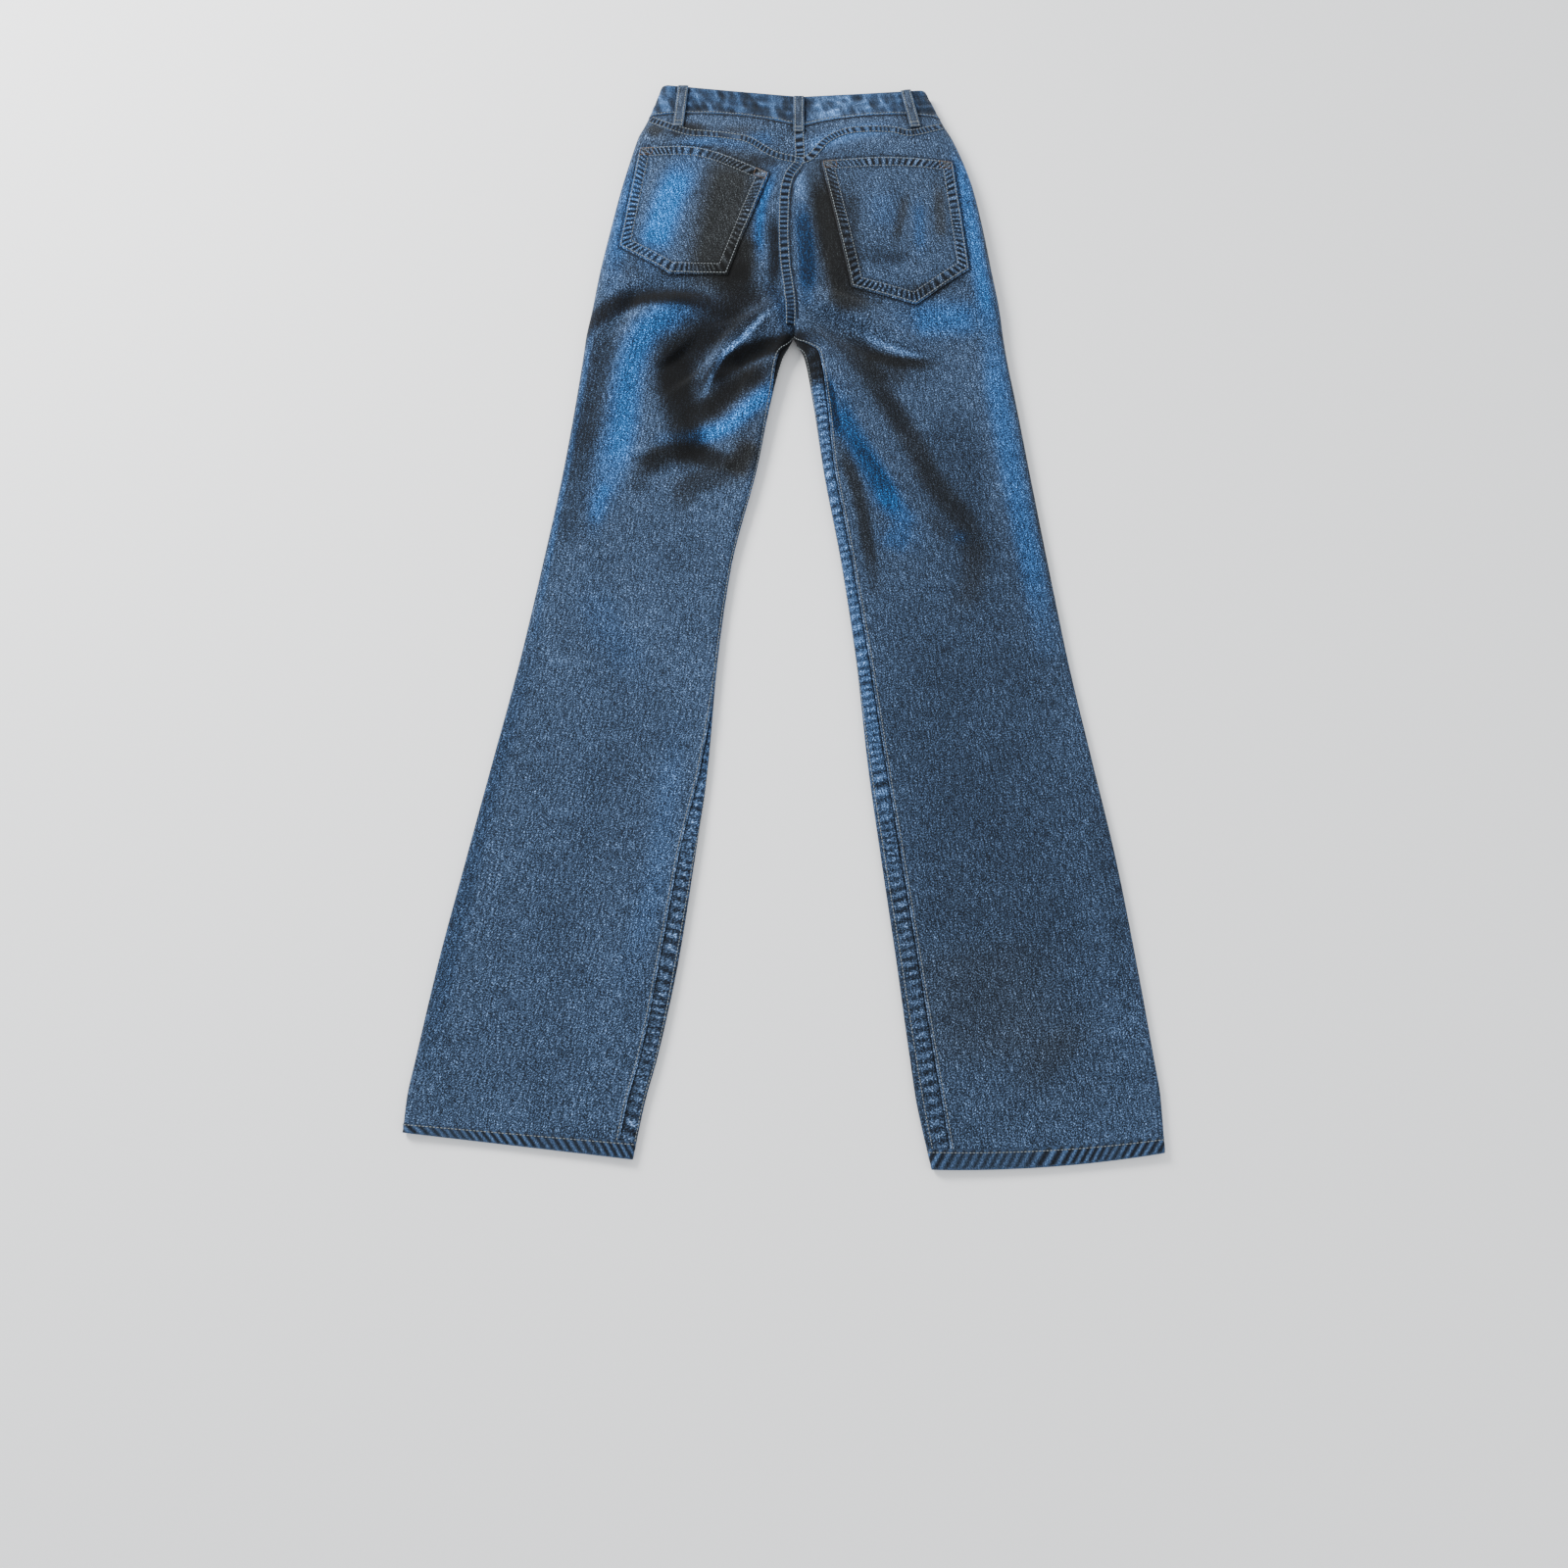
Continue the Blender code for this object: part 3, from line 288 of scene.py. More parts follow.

# Painted light and shade of the folds, together with the dye's fade: steps of lightness and
# shares of blue, along soft lines in plan
Shade = namedtuple("Shade", "tone blue side_a side_b path")
SHADING_AND_FADE = [
    # Left leg: the arc below the pocket, the hollow and its ridge, the band and the valley
    Shade(0.75, 0.53, 0.0149, 0.0186, [(-0.0673, 0.2841), (-0.0928, 0.2828), (-0.1122, 0.2800),
                                       (-0.1284, 0.2739), (-0.1428, 0.2623), (-0.1537, 0.2409),
                                       (-0.1594, 0.2193), (-0.1621, 0.1960), (-0.1636, 0.1663),
                                       (-0.1681, 0.1414), (-0.1737, 0.1208), (-0.1780, 0.0970),
                                       (-0.1834, 0.0754)]),
    Shade(-3.30, -0.03, 0.0102, 0.0093, [(-0.2294, 0.2403), (-0.2165, 0.2565), (-0.2019, 0.2746),
                                         (-0.1894, 0.2836), (-0.1773, 0.2922), (-0.1643, 0.2988),
                                         (-0.1497, 0.3018), (-0.1352, 0.3016), (-0.1185, 0.2993),
                                         (-0.1020, 0.2975), (-0.0857, 0.2934), (-0.0683, 0.2851),
                                         (-0.0540, 0.2771)]),
    Shade(-2.00, 0.00, 0.0065, 0.0065, [(-0.1683, 0.2933), (-0.1518, 0.2988), (-0.1351, 0.2988),
                                        (-0.1184, 0.2978), (-0.1020, 0.2961), (-0.0857, 0.2922)]),
    Shade(-1.50, -0.03, 0.0130, 0.0140, [(-0.1782, 0.2756), (-0.1849, 0.2537), (-0.1913, 0.2269),
                                         (-0.1966, 0.1982), (-0.2008, 0.1684), (-0.2049, 0.1389),
                                         (-0.2100, 0.1086)]),
    Shade(-0.80, 0.00, 0.0121, 0.0140, [(-0.2020, 0.1740), (-0.2052, 0.1466), (-0.2100, 0.1086),
                                        (-0.2162, 0.0499), (-0.2229, 0.0132)]),
    Shade(-2.80, -0.18, 0.0205, 0.0205, [(-0.0594, 0.3380), (-0.0511, 0.3115), (-0.0346, 0.2808)]),
    Shade(-2.80, -0.18, 0.0186, 0.0223, [(-0.0285, 0.2821), (-0.0561, 0.2720), (-0.0857, 0.2570),
                                         (-0.1044, 0.2376), (-0.1097, 0.2031), (-0.1030, 0.1639)]),
    Shade(-3.00, -0.10, 0.0158, 0.0158, [(-0.1246, 0.2495), (-0.1164, 0.2237), (-0.1095, 0.1928),
                                         (-0.1030, 0.1639), (-0.0967, 0.1366), (-0.0902, 0.1104)]),
    Shade(-1.40, 0.05, 0.0121, 0.0121, [(-0.0561, 0.2698), (-0.0868, 0.2551), (-0.1105, 0.2409),
                                        (-0.1120, 0.2074)]),
    Shade(3.40, 0.17, 0.0024, 0.0033, [(-0.0051, 0.2872), (-0.0203, 0.2757), (-0.0406, 0.2545),
                                       (-0.0508, 0.2454), (-0.0609, 0.2354), (-0.0699, 0.2193),
                                       (-0.0770, 0.2054), (-0.0820, 0.1918)]),
    Shade(-6.50, -0.08, 0.0084, 0.0093, [(0.0305, 0.2530), (0.0143, 0.2533), (-0.0031, 0.2468),
                                         (-0.0204, 0.2454), (-0.0388, 0.2379), (-0.0569, 0.2250),
                                         (-0.0709, 0.2121), (-0.0832, 0.2050)]),
    Shade(-4.30, -0.28, 0.0130, 0.0112, [(-0.0142, 0.2246), (-0.0365, 0.2124), (-0.0567, 0.1978),
                                         (-0.0768, 0.1785), (-0.0990, 0.1683)]),
    Shade(1.10, 0.55, 0.0093, 0.0102, [(0.0000, 0.2140), (-0.0122, 0.1985), (-0.0262, 0.1846),
                                       (-0.0403, 0.1718), (-0.0563, 0.1573), (-0.0704, 0.1506),
                                       (-0.0886, 0.1460), (-0.1067, 0.1435), (-0.1229, 0.1426)]),
    Shade(-3.00, -0.23, 0.0093, 0.0121, [(-0.1501, 0.0975), (-0.1406, 0.1170), (-0.1307, 0.1268),
                                         (-0.1167, 0.1322), (-0.0967, 0.1326), (-0.0784, 0.1268),
                                         (-0.0581, 0.1177), (-0.0381, 0.1277)]),
    Shade(-1.50, -0.30, 0.0130, 0.0149, [(-0.0301, 0.1446), (-0.0401, 0.1212), (-0.0519, 0.1001)]),
    Shade(-1.20, -0.13, 0.0121, 0.0130, [(-0.0550, 0.1067), (-0.0800, 0.0988), (-0.0999, 0.0906),
                                         (-0.1025, 0.0648)]),
    Shade(0.45, 0.32, 0.0084, 0.0084, [(-0.1781, 0.0991), (-0.1874, 0.0775), (-0.1923, 0.0449)]),
    Shade(-0.20, 0.00, 0.0372, 0.0372, [(-0.1499, 0.0887), (-0.1092, 0.0456), (-0.0786, -0.0078)]),
    Shade(0.10, 0.10, 0.0186, 0.0186, [(-0.1964, -0.0180), (-0.1736, -0.0642), (-0.1453, -0.1100)]),
    Shade(-0.60, 0.10, 0.0102, 0.0102, [(-0.2466, -0.0599), (-0.2847, -0.2205), (-0.3112, -0.3636),
                                        (-0.3335, -0.4910)]),
    Shade(0.30, 0.10, 0.0130, 0.0130, [(-0.1055, -0.1609), (-0.1136, -0.2397), (-0.1215, -0.3165),
                                       (-0.1472, -0.4096)]),
    Shade(-0.25, 0.00, 0.0558, 0.0558, [(-0.1740, -0.1202), (-0.1990, -0.2394), (-0.2469, -0.4460)]),
    Shade(0.50, 0.27, 0.0028, 0.0028, [(-0.1979, 0.2849), (-0.2063, 0.2182), (-0.2161, 0.1413),
                                       (-0.2318, 0.0445), (-0.2481, -0.0702)]),
    Shade(-1.20, 0.20, 0.0065, 0.0065, [(-0.0164, 0.3116), (-0.0071, 0.2968), (-0.0010, 0.2814),
                                        (0.0020, 0.2614)]),
    # Right leg: the long valley, the blue beside it, the thin ridge and the outer thigh
    Shade(-0.65, 0.00, 0.1023, 0.1023, [(0.1601, 0.0897), (0.1783, -0.1403), (0.1978, -0.2779),
                                        (0.2257, -0.5176)]),
    Shade(-1.80, -0.18, 0.0112, 0.0130, [(0.0388, 0.2706), (0.0551, 0.2552), (0.0714, 0.2423),
                                         (0.0915, 0.2143), (0.1085, 0.1859), (0.1263, 0.1549),
                                         (0.1381, 0.1332), (0.1486, 0.1073), (0.1639, 0.0821),
                                         (0.1831, 0.0568), (0.1921, 0.0249), (0.1890, -0.0167)]),
    Shade(-0.80, 0.00, 0.0074, 0.0074, [(0.0965, 0.2016), (0.1115, 0.1806), (0.1293, 0.1516)]),
    Shade(-0.30, 0.00, 0.0084, 0.0084, [(0.1390, 0.1279), (0.1524, 0.0986), (0.1575, 0.0579)]),
    Shade(-0.80, -0.08, 0.0084, 0.0084, [(0.1475, 0.0637), (0.1592, 0.0471), (0.1709, 0.0366)]),
    Shade(-0.20, -0.08, 0.0140, 0.0121, [(0.1964, 0.0405), (0.1936, 0.0091), (0.1869, -0.0219),
                                         (0.1685, -0.0402)]),
    Shade(-0.50, 0.59, 0.0121, 0.0121, [(0.0506, 0.1948), (0.0625, 0.1625), (0.0802, 0.1275),
                                        (0.0998, 0.0925), (0.1193, 0.0561)]),
    Shade(-2.00, 0.57, 0.0037, 0.0037, [(0.0456, 0.2115), (0.0495, 0.1905), (0.0524, 0.1687),
                                        (0.0563, 0.1470)]),
    Shade(-0.90, 0.52, 0.0037, 0.0037, [(0.0703, 0.1458), (0.0881, 0.1190), (0.1097, 0.0871)]),
    Shade(-1.90, -0.23, 0.0065, 0.0074, [(0.0582, 0.1383), (0.0661, 0.1150), (0.0739, 0.0917),
                                         (0.0796, 0.0662), (0.0850, 0.0290), (0.0923, -0.0182)]),
    Shade(1.50, 0.10, 0.0019, 0.0037, [(0.0795, 0.2617), (0.1039, 0.2489), (0.1252, 0.2402),
                                       (0.1476, 0.2333)]),
    Shade(-2.60, -0.23, 0.0037, 0.0084, [(0.0736, 0.2570), (0.0950, 0.2400), (0.1172, 0.2320),
                                         (0.1374, 0.2304), (0.1558, 0.2304)]),
    Shade(-1.30, -0.13, 0.0158, 0.0130, [(0.0816, 0.2388), (0.1068, 0.2207), (0.1321, 0.2120)]),
    Shade(-0.75, 0.00, 0.0260, 0.0260, [(0.1521, 0.1916), (0.1789, 0.1265), (0.1908, 0.0512),
                                        (0.2002, -0.0278)]),
    Shade(-1.70, -0.23, 0.0140, 0.0121, [(0.0469, 0.3041), (0.0631, 0.2928), (0.0939, 0.2949)]),
    Shade(0.65, 0.42, 0.0130, 0.0130, [(0.2153, 0.2948), (0.2205, 0.1948), (0.2328, 0.1039),
                                       (0.2467, 0.0172), (0.2604, -0.0802)]),
    Shade(0.60, 0.45, 0.0186, 0.0186, [(0.1275, 0.2726), (0.1635, 0.2768), (0.2098, 0.2780)]),
    Shade(-0.70, -0.18, 0.0037, 0.0037, [(0.2190, 0.3072), (0.2346, 0.2288), (0.2478, 0.1378),
                                         (0.2600, 0.0457), (0.2736, -0.0490)]),
    Shade(-0.90, -0.13, 0.0074, 0.0065, [(0.1247, 0.3051), (0.1535, 0.3060), (0.1785, 0.3189)]),
    Shade(0.20, 0.32, 0.0130, 0.0130, [(0.0991, 0.0400), (0.1287, 0.0297)]),
    Shade(0.50, 0.27, 0.0121, 0.0121, [(0.0918, 0.0875), (0.1046, 0.0758), (0.1174, 0.0624),
                                       (0.1339, 0.0436)]),
    Shade(0.20, 0.32, 0.0065, 0.0065, [(0.1710, 0.0419), (0.1865, 0.0357)]),
    Shade(-0.40, 0.00, 0.0112, 0.0112, [(0.2971, -0.2009), (0.3137, -0.3166), (0.3205, -0.4642)]),
    Shade(-0.35, -0.08, 0.0419, 0.0419, [(0.2370, -0.4641), (0.2631, -0.4910)]),
    Shade(-0.20, -0.10, 0.0744, 0.0744, [(0.1762, -0.3633), (0.1902, -0.4999)]),
    # Seat: the hips, the folds beside the centre seam and the pockets
    Shade(0.15, 0.42, 0.0130, 0.0130, [(-0.1559, 0.4715), (-0.1689, 0.4103), (-0.1829, 0.3166)]),
    Shade(0.95, 0.69, 0.0186, 0.0177, [(-0.1027, 0.4643), (-0.1206, 0.4176), (-0.1322, 0.3759),
                                       (-0.1398, 0.3450)]),
    Shade(-1.90, -0.43, 0.0251, 0.0260, [(-0.0504, 0.4778), (-0.0572, 0.4282), (-0.0651, 0.3870),
                                         (-0.0718, 0.3434), (-0.0777, 0.3021)]),
    Shade(-2.60, -0.33, 0.0121, 0.0121, [(-0.0371, 0.3700), (-0.0430, 0.3389), (-0.0490, 0.3093)]),
    Shade(0.30, 0.59, 0.0056, 0.0065, [(-0.0084, 0.4509), (-0.0228, 0.4098), (-0.0268, 0.3679),
                                       (-0.0256, 0.3426)]),
    Shade(-3.20, 0.00, 0.0056, 0.0065, [(-0.0114, 0.3900), (-0.0093, 0.3631), (-0.0092, 0.3400),
                                        (-0.0112, 0.3063)]),
    Shade(-2.60, -0.23, 0.0084, 0.0093, [(-0.1248, 0.5041), (-0.1056, 0.5041), (-0.0823, 0.5004)]),
    Shade(-0.40, -0.08, 0.0065, 0.0065, [(-0.0686, 0.5030), (-0.0422, 0.5002), (-0.0211, 0.4980)]),
    Shade(-1.40, -0.28, 0.0084, 0.0084, [(-0.1454, 0.5123), (-0.1331, 0.4970)]),
    Shade(0.10, 0.27, 0.0112, 0.0112, [(-0.0420, 0.4866), (-0.0105, 0.4915)]),
    Shade(0.50, 0.27, 0.0065, 0.0065, [(-0.1158, 0.4841), (-0.0736, 0.4872), (-0.0367, 0.4751)]),
    Shade(-1.30, -0.08, 0.0074, 0.0074, [(-0.0418, 0.4601), (-0.0042, 0.4608)]),
    Shade(1.00, 0.10, 0.0056, 0.0056, [(0.0157, 0.4495), (0.0176, 0.4106)]),
    Shade(-2.20, 0.82, 0.0074, 0.0084, [(0.0186, 0.4019), (0.0226, 0.3671), (0.0246, 0.3326),
                                        (0.0244, 0.2958)]),
    Shade(-3.60, -0.43, 0.0140, 0.0130, [(0.0397, 0.4506), (0.0436, 0.4051), (0.0494, 0.3626),
                                         (0.0573, 0.3222), (0.0631, 0.2928)]),
    Shade(-1.30, -0.08, 0.0093, 0.0084, [(0.0677, 0.4401), (0.0712, 0.3850), (0.0718, 0.3422),
                                         (0.0777, 0.3136)]),
    Shade(0.20, 0.12, 0.0149, 0.0149, [(0.1018, 0.4221), (0.1051, 0.3739)]),
    Shade(-0.90, -0.18, 0.0047, 0.0056, [(0.1301, 0.4204), (0.1242, 0.3915), (0.1163, 0.3577)]),
    Shade(0.10, 0.27, 0.0065, 0.0065, [(0.1423, 0.4116), (0.1428, 0.3463)]),
    Shade(-0.80, -0.23, 0.0065, 0.0065, [(0.1641, 0.4379), (0.1647, 0.3887), (0.1651, 0.3650)]),
    Shade(-1.10, 0.00, 0.0112, 0.0093, [(0.0780, 0.3468), (0.1077, 0.3406), (0.1334, 0.3414)]),
    Shade(0.90, 0.50, 0.0093, 0.0112, [(0.1888, 0.4888), (0.1932, 0.4480), (0.2002, 0.3804),
                                       (0.2095, 0.3111), (0.2148, 0.2727)]),
    Shade(-0.60, -0.18, 0.0028, 0.0028, [(0.2003, 0.4675), (0.2105, 0.4095), (0.2189, 0.3257)]),
    Shade(0.90, 0.22, 0.0112, 0.0112, [(0.0231, 0.4800), (0.0400, 0.4852), (0.0844, 0.5002),
                                       (0.1162, 0.5049)]),
    Shade(-0.70, 0.00, 0.0112, 0.0112, [(-0.1754, 0.3482), (-0.1488, 0.3296), (-0.1128, 0.3170),
                                        (-0.0716, 0.3122)]),
]


def smooth(table, name, levels):
    """Values of a column at levels, on a smooth curve without overshoot."""
    at = np.array([row.along for row in table])
    values = np.array([getattr(row, name) for row in table])
    steps = np.diff(at)
    rises = np.diff(values) / steps
    slopes = np.zeros(len(values))
    slopes[0] = rises[0]
    slopes[-1] = rises[-1]
    for k in range(1, len(values) - 1):
        if rises[k - 1] * rises[k] > 0:
            before = 2 * steps[k] + steps[k - 1]
            after = steps[k] + 2 * steps[k - 1]
            slopes[k] = (before + after) / (before / rises[k - 1] + after / rises[k])
    k = np.clip(np.searchsorted(at, levels) - 1, 0, len(steps) - 1)
    step = steps[k]
    t = np.clip((levels - at[k]) / step, 0, 1)
    return (
        (1 + 2 * t) * (1 - t) ** 2 * values[k]
        + t * (1 - t) ** 2 * step * slopes[k]
        + t * t * (3 - 2 * t) * values[k + 1]
        + t * t * (t - 1) * step * slopes[k + 1]
    )


def ease(x):
    """A smooth step from 0 to 1."""
    x = np.clip(x, 0, 1)
    return x * x * (3 - 2 * x)


def nearness(x, y, line, power=2):
    """1 on a soft line in plan, fading over its two sides and towards its ends."""
    path = np.array(line.path)
    nearest = np.full(x.shape, 1e9)
    side = np.zeros(x.shape)
    place = np.zeros(x.shape)
    for k in range(len(path) - 1):
        start = path[k]
        run = path[k + 1] - start
        length = np.hypot(*run)
        t = np.clip(((x - start[0]) * run[0] + (y - start[1]) * run[1]) / length**2, 0, 1)
        away_x = x - start[0] - t * run[0]
        away_y = y - start[1] - t * run[1]
        distance = np.hypot(away_x, away_y)
        closer = distance < nearest
        nearest = np.where(closer, distance, nearest)
        side = np.where(closer, run[0] * away_y - run[1] * away_x, side)
        place = np.where(closer, (k + t) / (len(path) - 1), place)
    width = np.where(side > 0, line.side_a, line.side_b)
    ends = ease(place / 0.25) * ease((1 - place) / 0.25)
    return np.exp(-((nearest / width) ** power)) * (0.25 + 0.75 * ends)


def fold_height(x, y, folds):
    return sum(fold.height * nearness(x, y, fold) for fold in folds)


def wander(u, v, seed):
    """Smooth uneven numbers from -1 to 1 over a plane, about one hill to a unit."""
    grid = np.random.default_rng(seed).uniform(-1, 1, (97, 97))
    i = np.floor(u).astype(int)
    j = np.floor(v).astype(int)
    a = ease(u - i)
    b = ease(v - j)
    corner = lambda di, dj: grid[(i + di) % 97, (j + dj) % 97]
    low = corner(0, 0) * (1 - a) + corner(1, 0) * a
    high = corner(0, 1) * (1 - a) + corner(1, 1) * a
    return low * (1 - b) + high * b


class Sections:
    """Sections across a half, one to a level."""

    def __init__(self, table, levels):
        levels = np.asarray(levels, float)[:, None]
        self.along = levels
        self.out_x = smooth(table, "out_x", levels)
        self.out_y = smooth(table, "out_y", levels)
        centre = smooth(table, "in_x", levels)
        self.in_x = centre - np.sign(centre - self.out_x) * SEAM_GAP / 2
        self.in_y = smooth(table, "in_y", levels)
        self.inseam = smooth(table, "inseam", levels)
        self.bow = smooth(table, "bow", levels)
        for name in Loft._fields[1:]:
            setattr(self, name, smooth(LOFTS, name, levels))
        self.width = abs(self.in_x - self.out_x)
        self.forked = levels <= FORK + 1e-9

    def plan(self, across):
        share = across / self.width
        x = self.out_x + (self.in_x - self.out_x) * share
        y = self.out_y + (self.in_y - self.out_y) * share
        return x, y + self.bow * 4 * share * (1 - share)

    def top(self, across):
        """Height of the upper surface at distances from the outer edge."""
        share = np.clip(across / self.width, 0, 1)
        edge = self.out_height + (self.in_height - self.out_height) * share
        bow = self.middle_height - (self.out_height + self.in_height) / 2
        height = edge + bow * (1 - np.abs(2 * share - 1) ** 2.5)
        x, y = self.plan(across)
        inner = ease((self.width - across) / 0.015)
        inner = np.where(self.forked, inner, 1 - 2 * self.drop * (1 - inner))
        height = height + fold_height(x, y, FOLDS) * ease(across / 0.018) * inner
        roll = 1 - np.clip(across / self.out_roll, 0, 1)
        height = height * (0.5 + 0.5 * np.sqrt(np.clip(1 - roll**2, 0, 1)))
        return height - self.in_height * self.drop * self.turned(across)

    def turned(self, across):
        turn = np.clip(1 - (self.width - across) / self.in_roll, 0, 1)
        return 1 - np.clip(1 - turn**2, 0, 1) ** (1 / self.round)

    def floor(self, across):
        """Height of the lower surface, which lies on the floor but for the waist."""
        x, y = self.plan(across)
        front = (self.along - (WAIST_LINE - LIFT_START)) / (LIFT_START - LIFT_END)
        centre = abs(x - CENTRE_X) / BUTTON_REACH
        lift = FRONT_LIFT + BUTTON_LIFT * (1 - ease(centre - 0.5))
        inside = ease((across - self.out_roll) / 0.010)
        return lift * ease(front) * inside + self.in_height * self.rise * self.turned(across)

    def point(self, across, height, dip=0.0):
        x, y = self.plan(across)
        inward = np.clip((across - self.out_roll) / (self.width - self.out_roll), 0, 1)
        middle = 1 - (1 - inward) ** 2
        dipped = ease((self.along - YOKE_LINE + 0.08) / 0.12)
        return np.stack([x, y - dip * middle * dipped, height + 0 * x], axis=-1)

    def upper(self):
        """From the side seam up round the outer edge and over to the inner edge's widest."""
        angle = np.linspace(0, pi / 2, EDGE_STEPS)[None]
        turn = self.out_roll * (1 - np.sin(angle))
        start = self.top(np.zeros((len(self.along), 1)))
        below = self.point(turn, start * (1 - np.cos(angle)))
        rise = self.out_roll * (1 - np.cos(angle))
        share = np.linspace(0, 1, 170)[None, 1:-1]
        flat = self.out_roll + (self.width - self.in_roll - self.out_roll) * share
        fall = self.width - self.in_roll * (1 - np.sin(angle))
        across = np.concatenate([rise[:, 1:], flat, fall], axis=1)
        return np.concatenate([below, self.point(across, self.top(across))], axis=1)

    def lower(self):
        """The inner edge from its widest point down, and the floor back to the side seam."""
        angle = np.linspace(pi / 2, 0, EDGE_STEPS)[None]
        turn = self.width - self.in_roll * (1 - np.sin(angle))
        share = np.linspace(0, 1, 120)[None, 1:]
        flat = self.width - self.in_roll + (self.out_roll - self.width + self.in_roll) * share
        across = np.concatenate([turn, flat], axis=1)
        return self.point(across, self.floor(across), FRONT_DIP)


def lengths(lines):
    steps = np.linalg.norm(np.diff(lines, axis=1), axis=2)
    return np.concatenate([np.zeros((len(lines), 1)), np.cumsum(steps, axis=1)], axis=1)


def pick(lines, chosen):
    """Points of each line at its chosen lengths."""
    runs = lengths(lines)
    return np.array([
        np.stack([np.interp(where, run, line[:, k]) for k in range(3)], axis=-1)
        for line, run, where in zip(lines, runs, chosen)
    ])


def crowded(count, *crowds):
    """Shares from 0 to 1, closer together near each crowd's middle."""
    fine = np.linspace(0, 1, 800)
    density = 1 + sum(gain * np.exp(-(((fine - middle) / reach) ** 2))
                      for middle, reach, gain in crowds)
    filled = np.concatenate([[0], np.cumsum((density[1:] + density[:-1]) / 2)])
    return np.interp(np.linspace(0, filled[-1], count), filled, fine)


def spread(start, end, shares):
    return start + (end - start) * shares[None]


def out_of(points, side):
    """Unit normals of a grid of points, to its outside."""
    normal = np.cross(np.gradient(points, axis=1), np.gradient(points, axis=0)) * side
    return normal / np.maximum(np.linalg.norm(normal, axis=2, keepdims=True), 1e-12)


def back_and_yoke(side, table):
    """Grids of a back panel and of the yoke above it, parted along the yoke seam."""
    levels = np.concatenate([np.linspace(HEM_DEPTH - 0.001, 0.94, 300),
                             np.linspace(0.943, WAIST_LINE - SEAM_GAP / 2, 60)])
    sections = Sections(table, levels)
    upper = sections.upper()
    turn = lengths(upper[:, :EDGE_STEPS])[:, -1:]
    end = lengths(upper)[:, -1:] - np.where(sections.forked, sections.inseam + SEAM_GAP / 2, 0)
    below = spread(SEAM_GAP / 2, turn, np.linspace(0, 1, 7)[:-1])
    over = spread(turn, end, crowded(BACK_COLUMNS, (0, 0.06, 2.5), (1, 0.05, 2.0)))
    points = pick(upper, np.concatenate([below, over], axis=1))
    seam = np.array(YOKE_SEAMS[side])
    row = np.searchsorted(levels, YOKE_LINE)
    back_levels = np.concatenate([np.linspace(HEM_DEPTH - 0.001, 0.94, BACK_ROWS),
                                  np.linspace(0.943, YOKE_LINE, 46)])
    bend = ease((back_levels - 0.95) / (YOKE_LINE - 0.95))
    back = []
    yoke = []
    for column in range(points.shape[1]):
        line = points[:, column]
        goal = np.interp(line[row, 0], seam[:, 0], seam[:, 1])
        cut = np.interp(goal, line[row - 30:, 1], levels[row - 30:])
        cut = min(cut, WAIST_LINE - 0.008)
        low = back_levels + (cut - SEAM_GAP / 2 - YOKE_LINE) * bend
        high = np.linspace(cut + SEAM_GAP / 2, levels[-1], YOKE_ROWS)
        back.append(np.stack([np.interp(low, levels, line[:, k]) for k in range(3)], axis=-1))
        yoke.append(np.stack([np.interp(high, levels, line[:, k]) for k in range(3)], axis=-1))
    return np.array(back).transpose(1, 0, 2), np.array(yoke).transpose(1, 0, 2)


def front(table):
    """Grid of a front panel, from the inseam or the centre seam under the leg to its side."""
    levels = np.concatenate([np.linspace(HEM_DEPTH - 0.001, 0.82, FRONT_ROWS),
                             np.linspace(0.823, 0.86, 18),
                             np.linspace(0.865, WAIST_LINE - SEAM_GAP / 2, 60)])
    sections = Sections(table, levels)
    upper = sections.upper()
    whole = np.concatenate([upper, sections.lower()[:, 1:]], axis=1)
    edge = lengths(upper)[:, -1:]
    start = edge - np.where(sections.forked, sections.inseam - SEAM_GAP / 2, 0)
    end = lengths(whole)[:, -1:] - SEAM_GAP / 2
    turn = edge + 0.022
    near = spread(start, turn, np.linspace(0, 1, 26)[:-1])
    far = spread(turn, end, crowded(22, (1, 0.05, 3.0)))
    return pick(whole, np.concatenate([near, far], axis=1)), levels, near - start


def hem(table):
    """Grid of a turned hem, once round the leg from its side seam."""
    levels = np.concatenate([np.linspace(0, 0.002, 4), np.linspace(0.0028, HEM_DEPTH, 14)])
    sections = Sections(table, levels)
    whole = np.concatenate([sections.upper(), sections.lower()[:, 1:]], axis=1)
    return pick(whole, spread(0, lengths(whole)[:, -1:], np.linspace(0, 1, HEM_COLUMNS))), levels


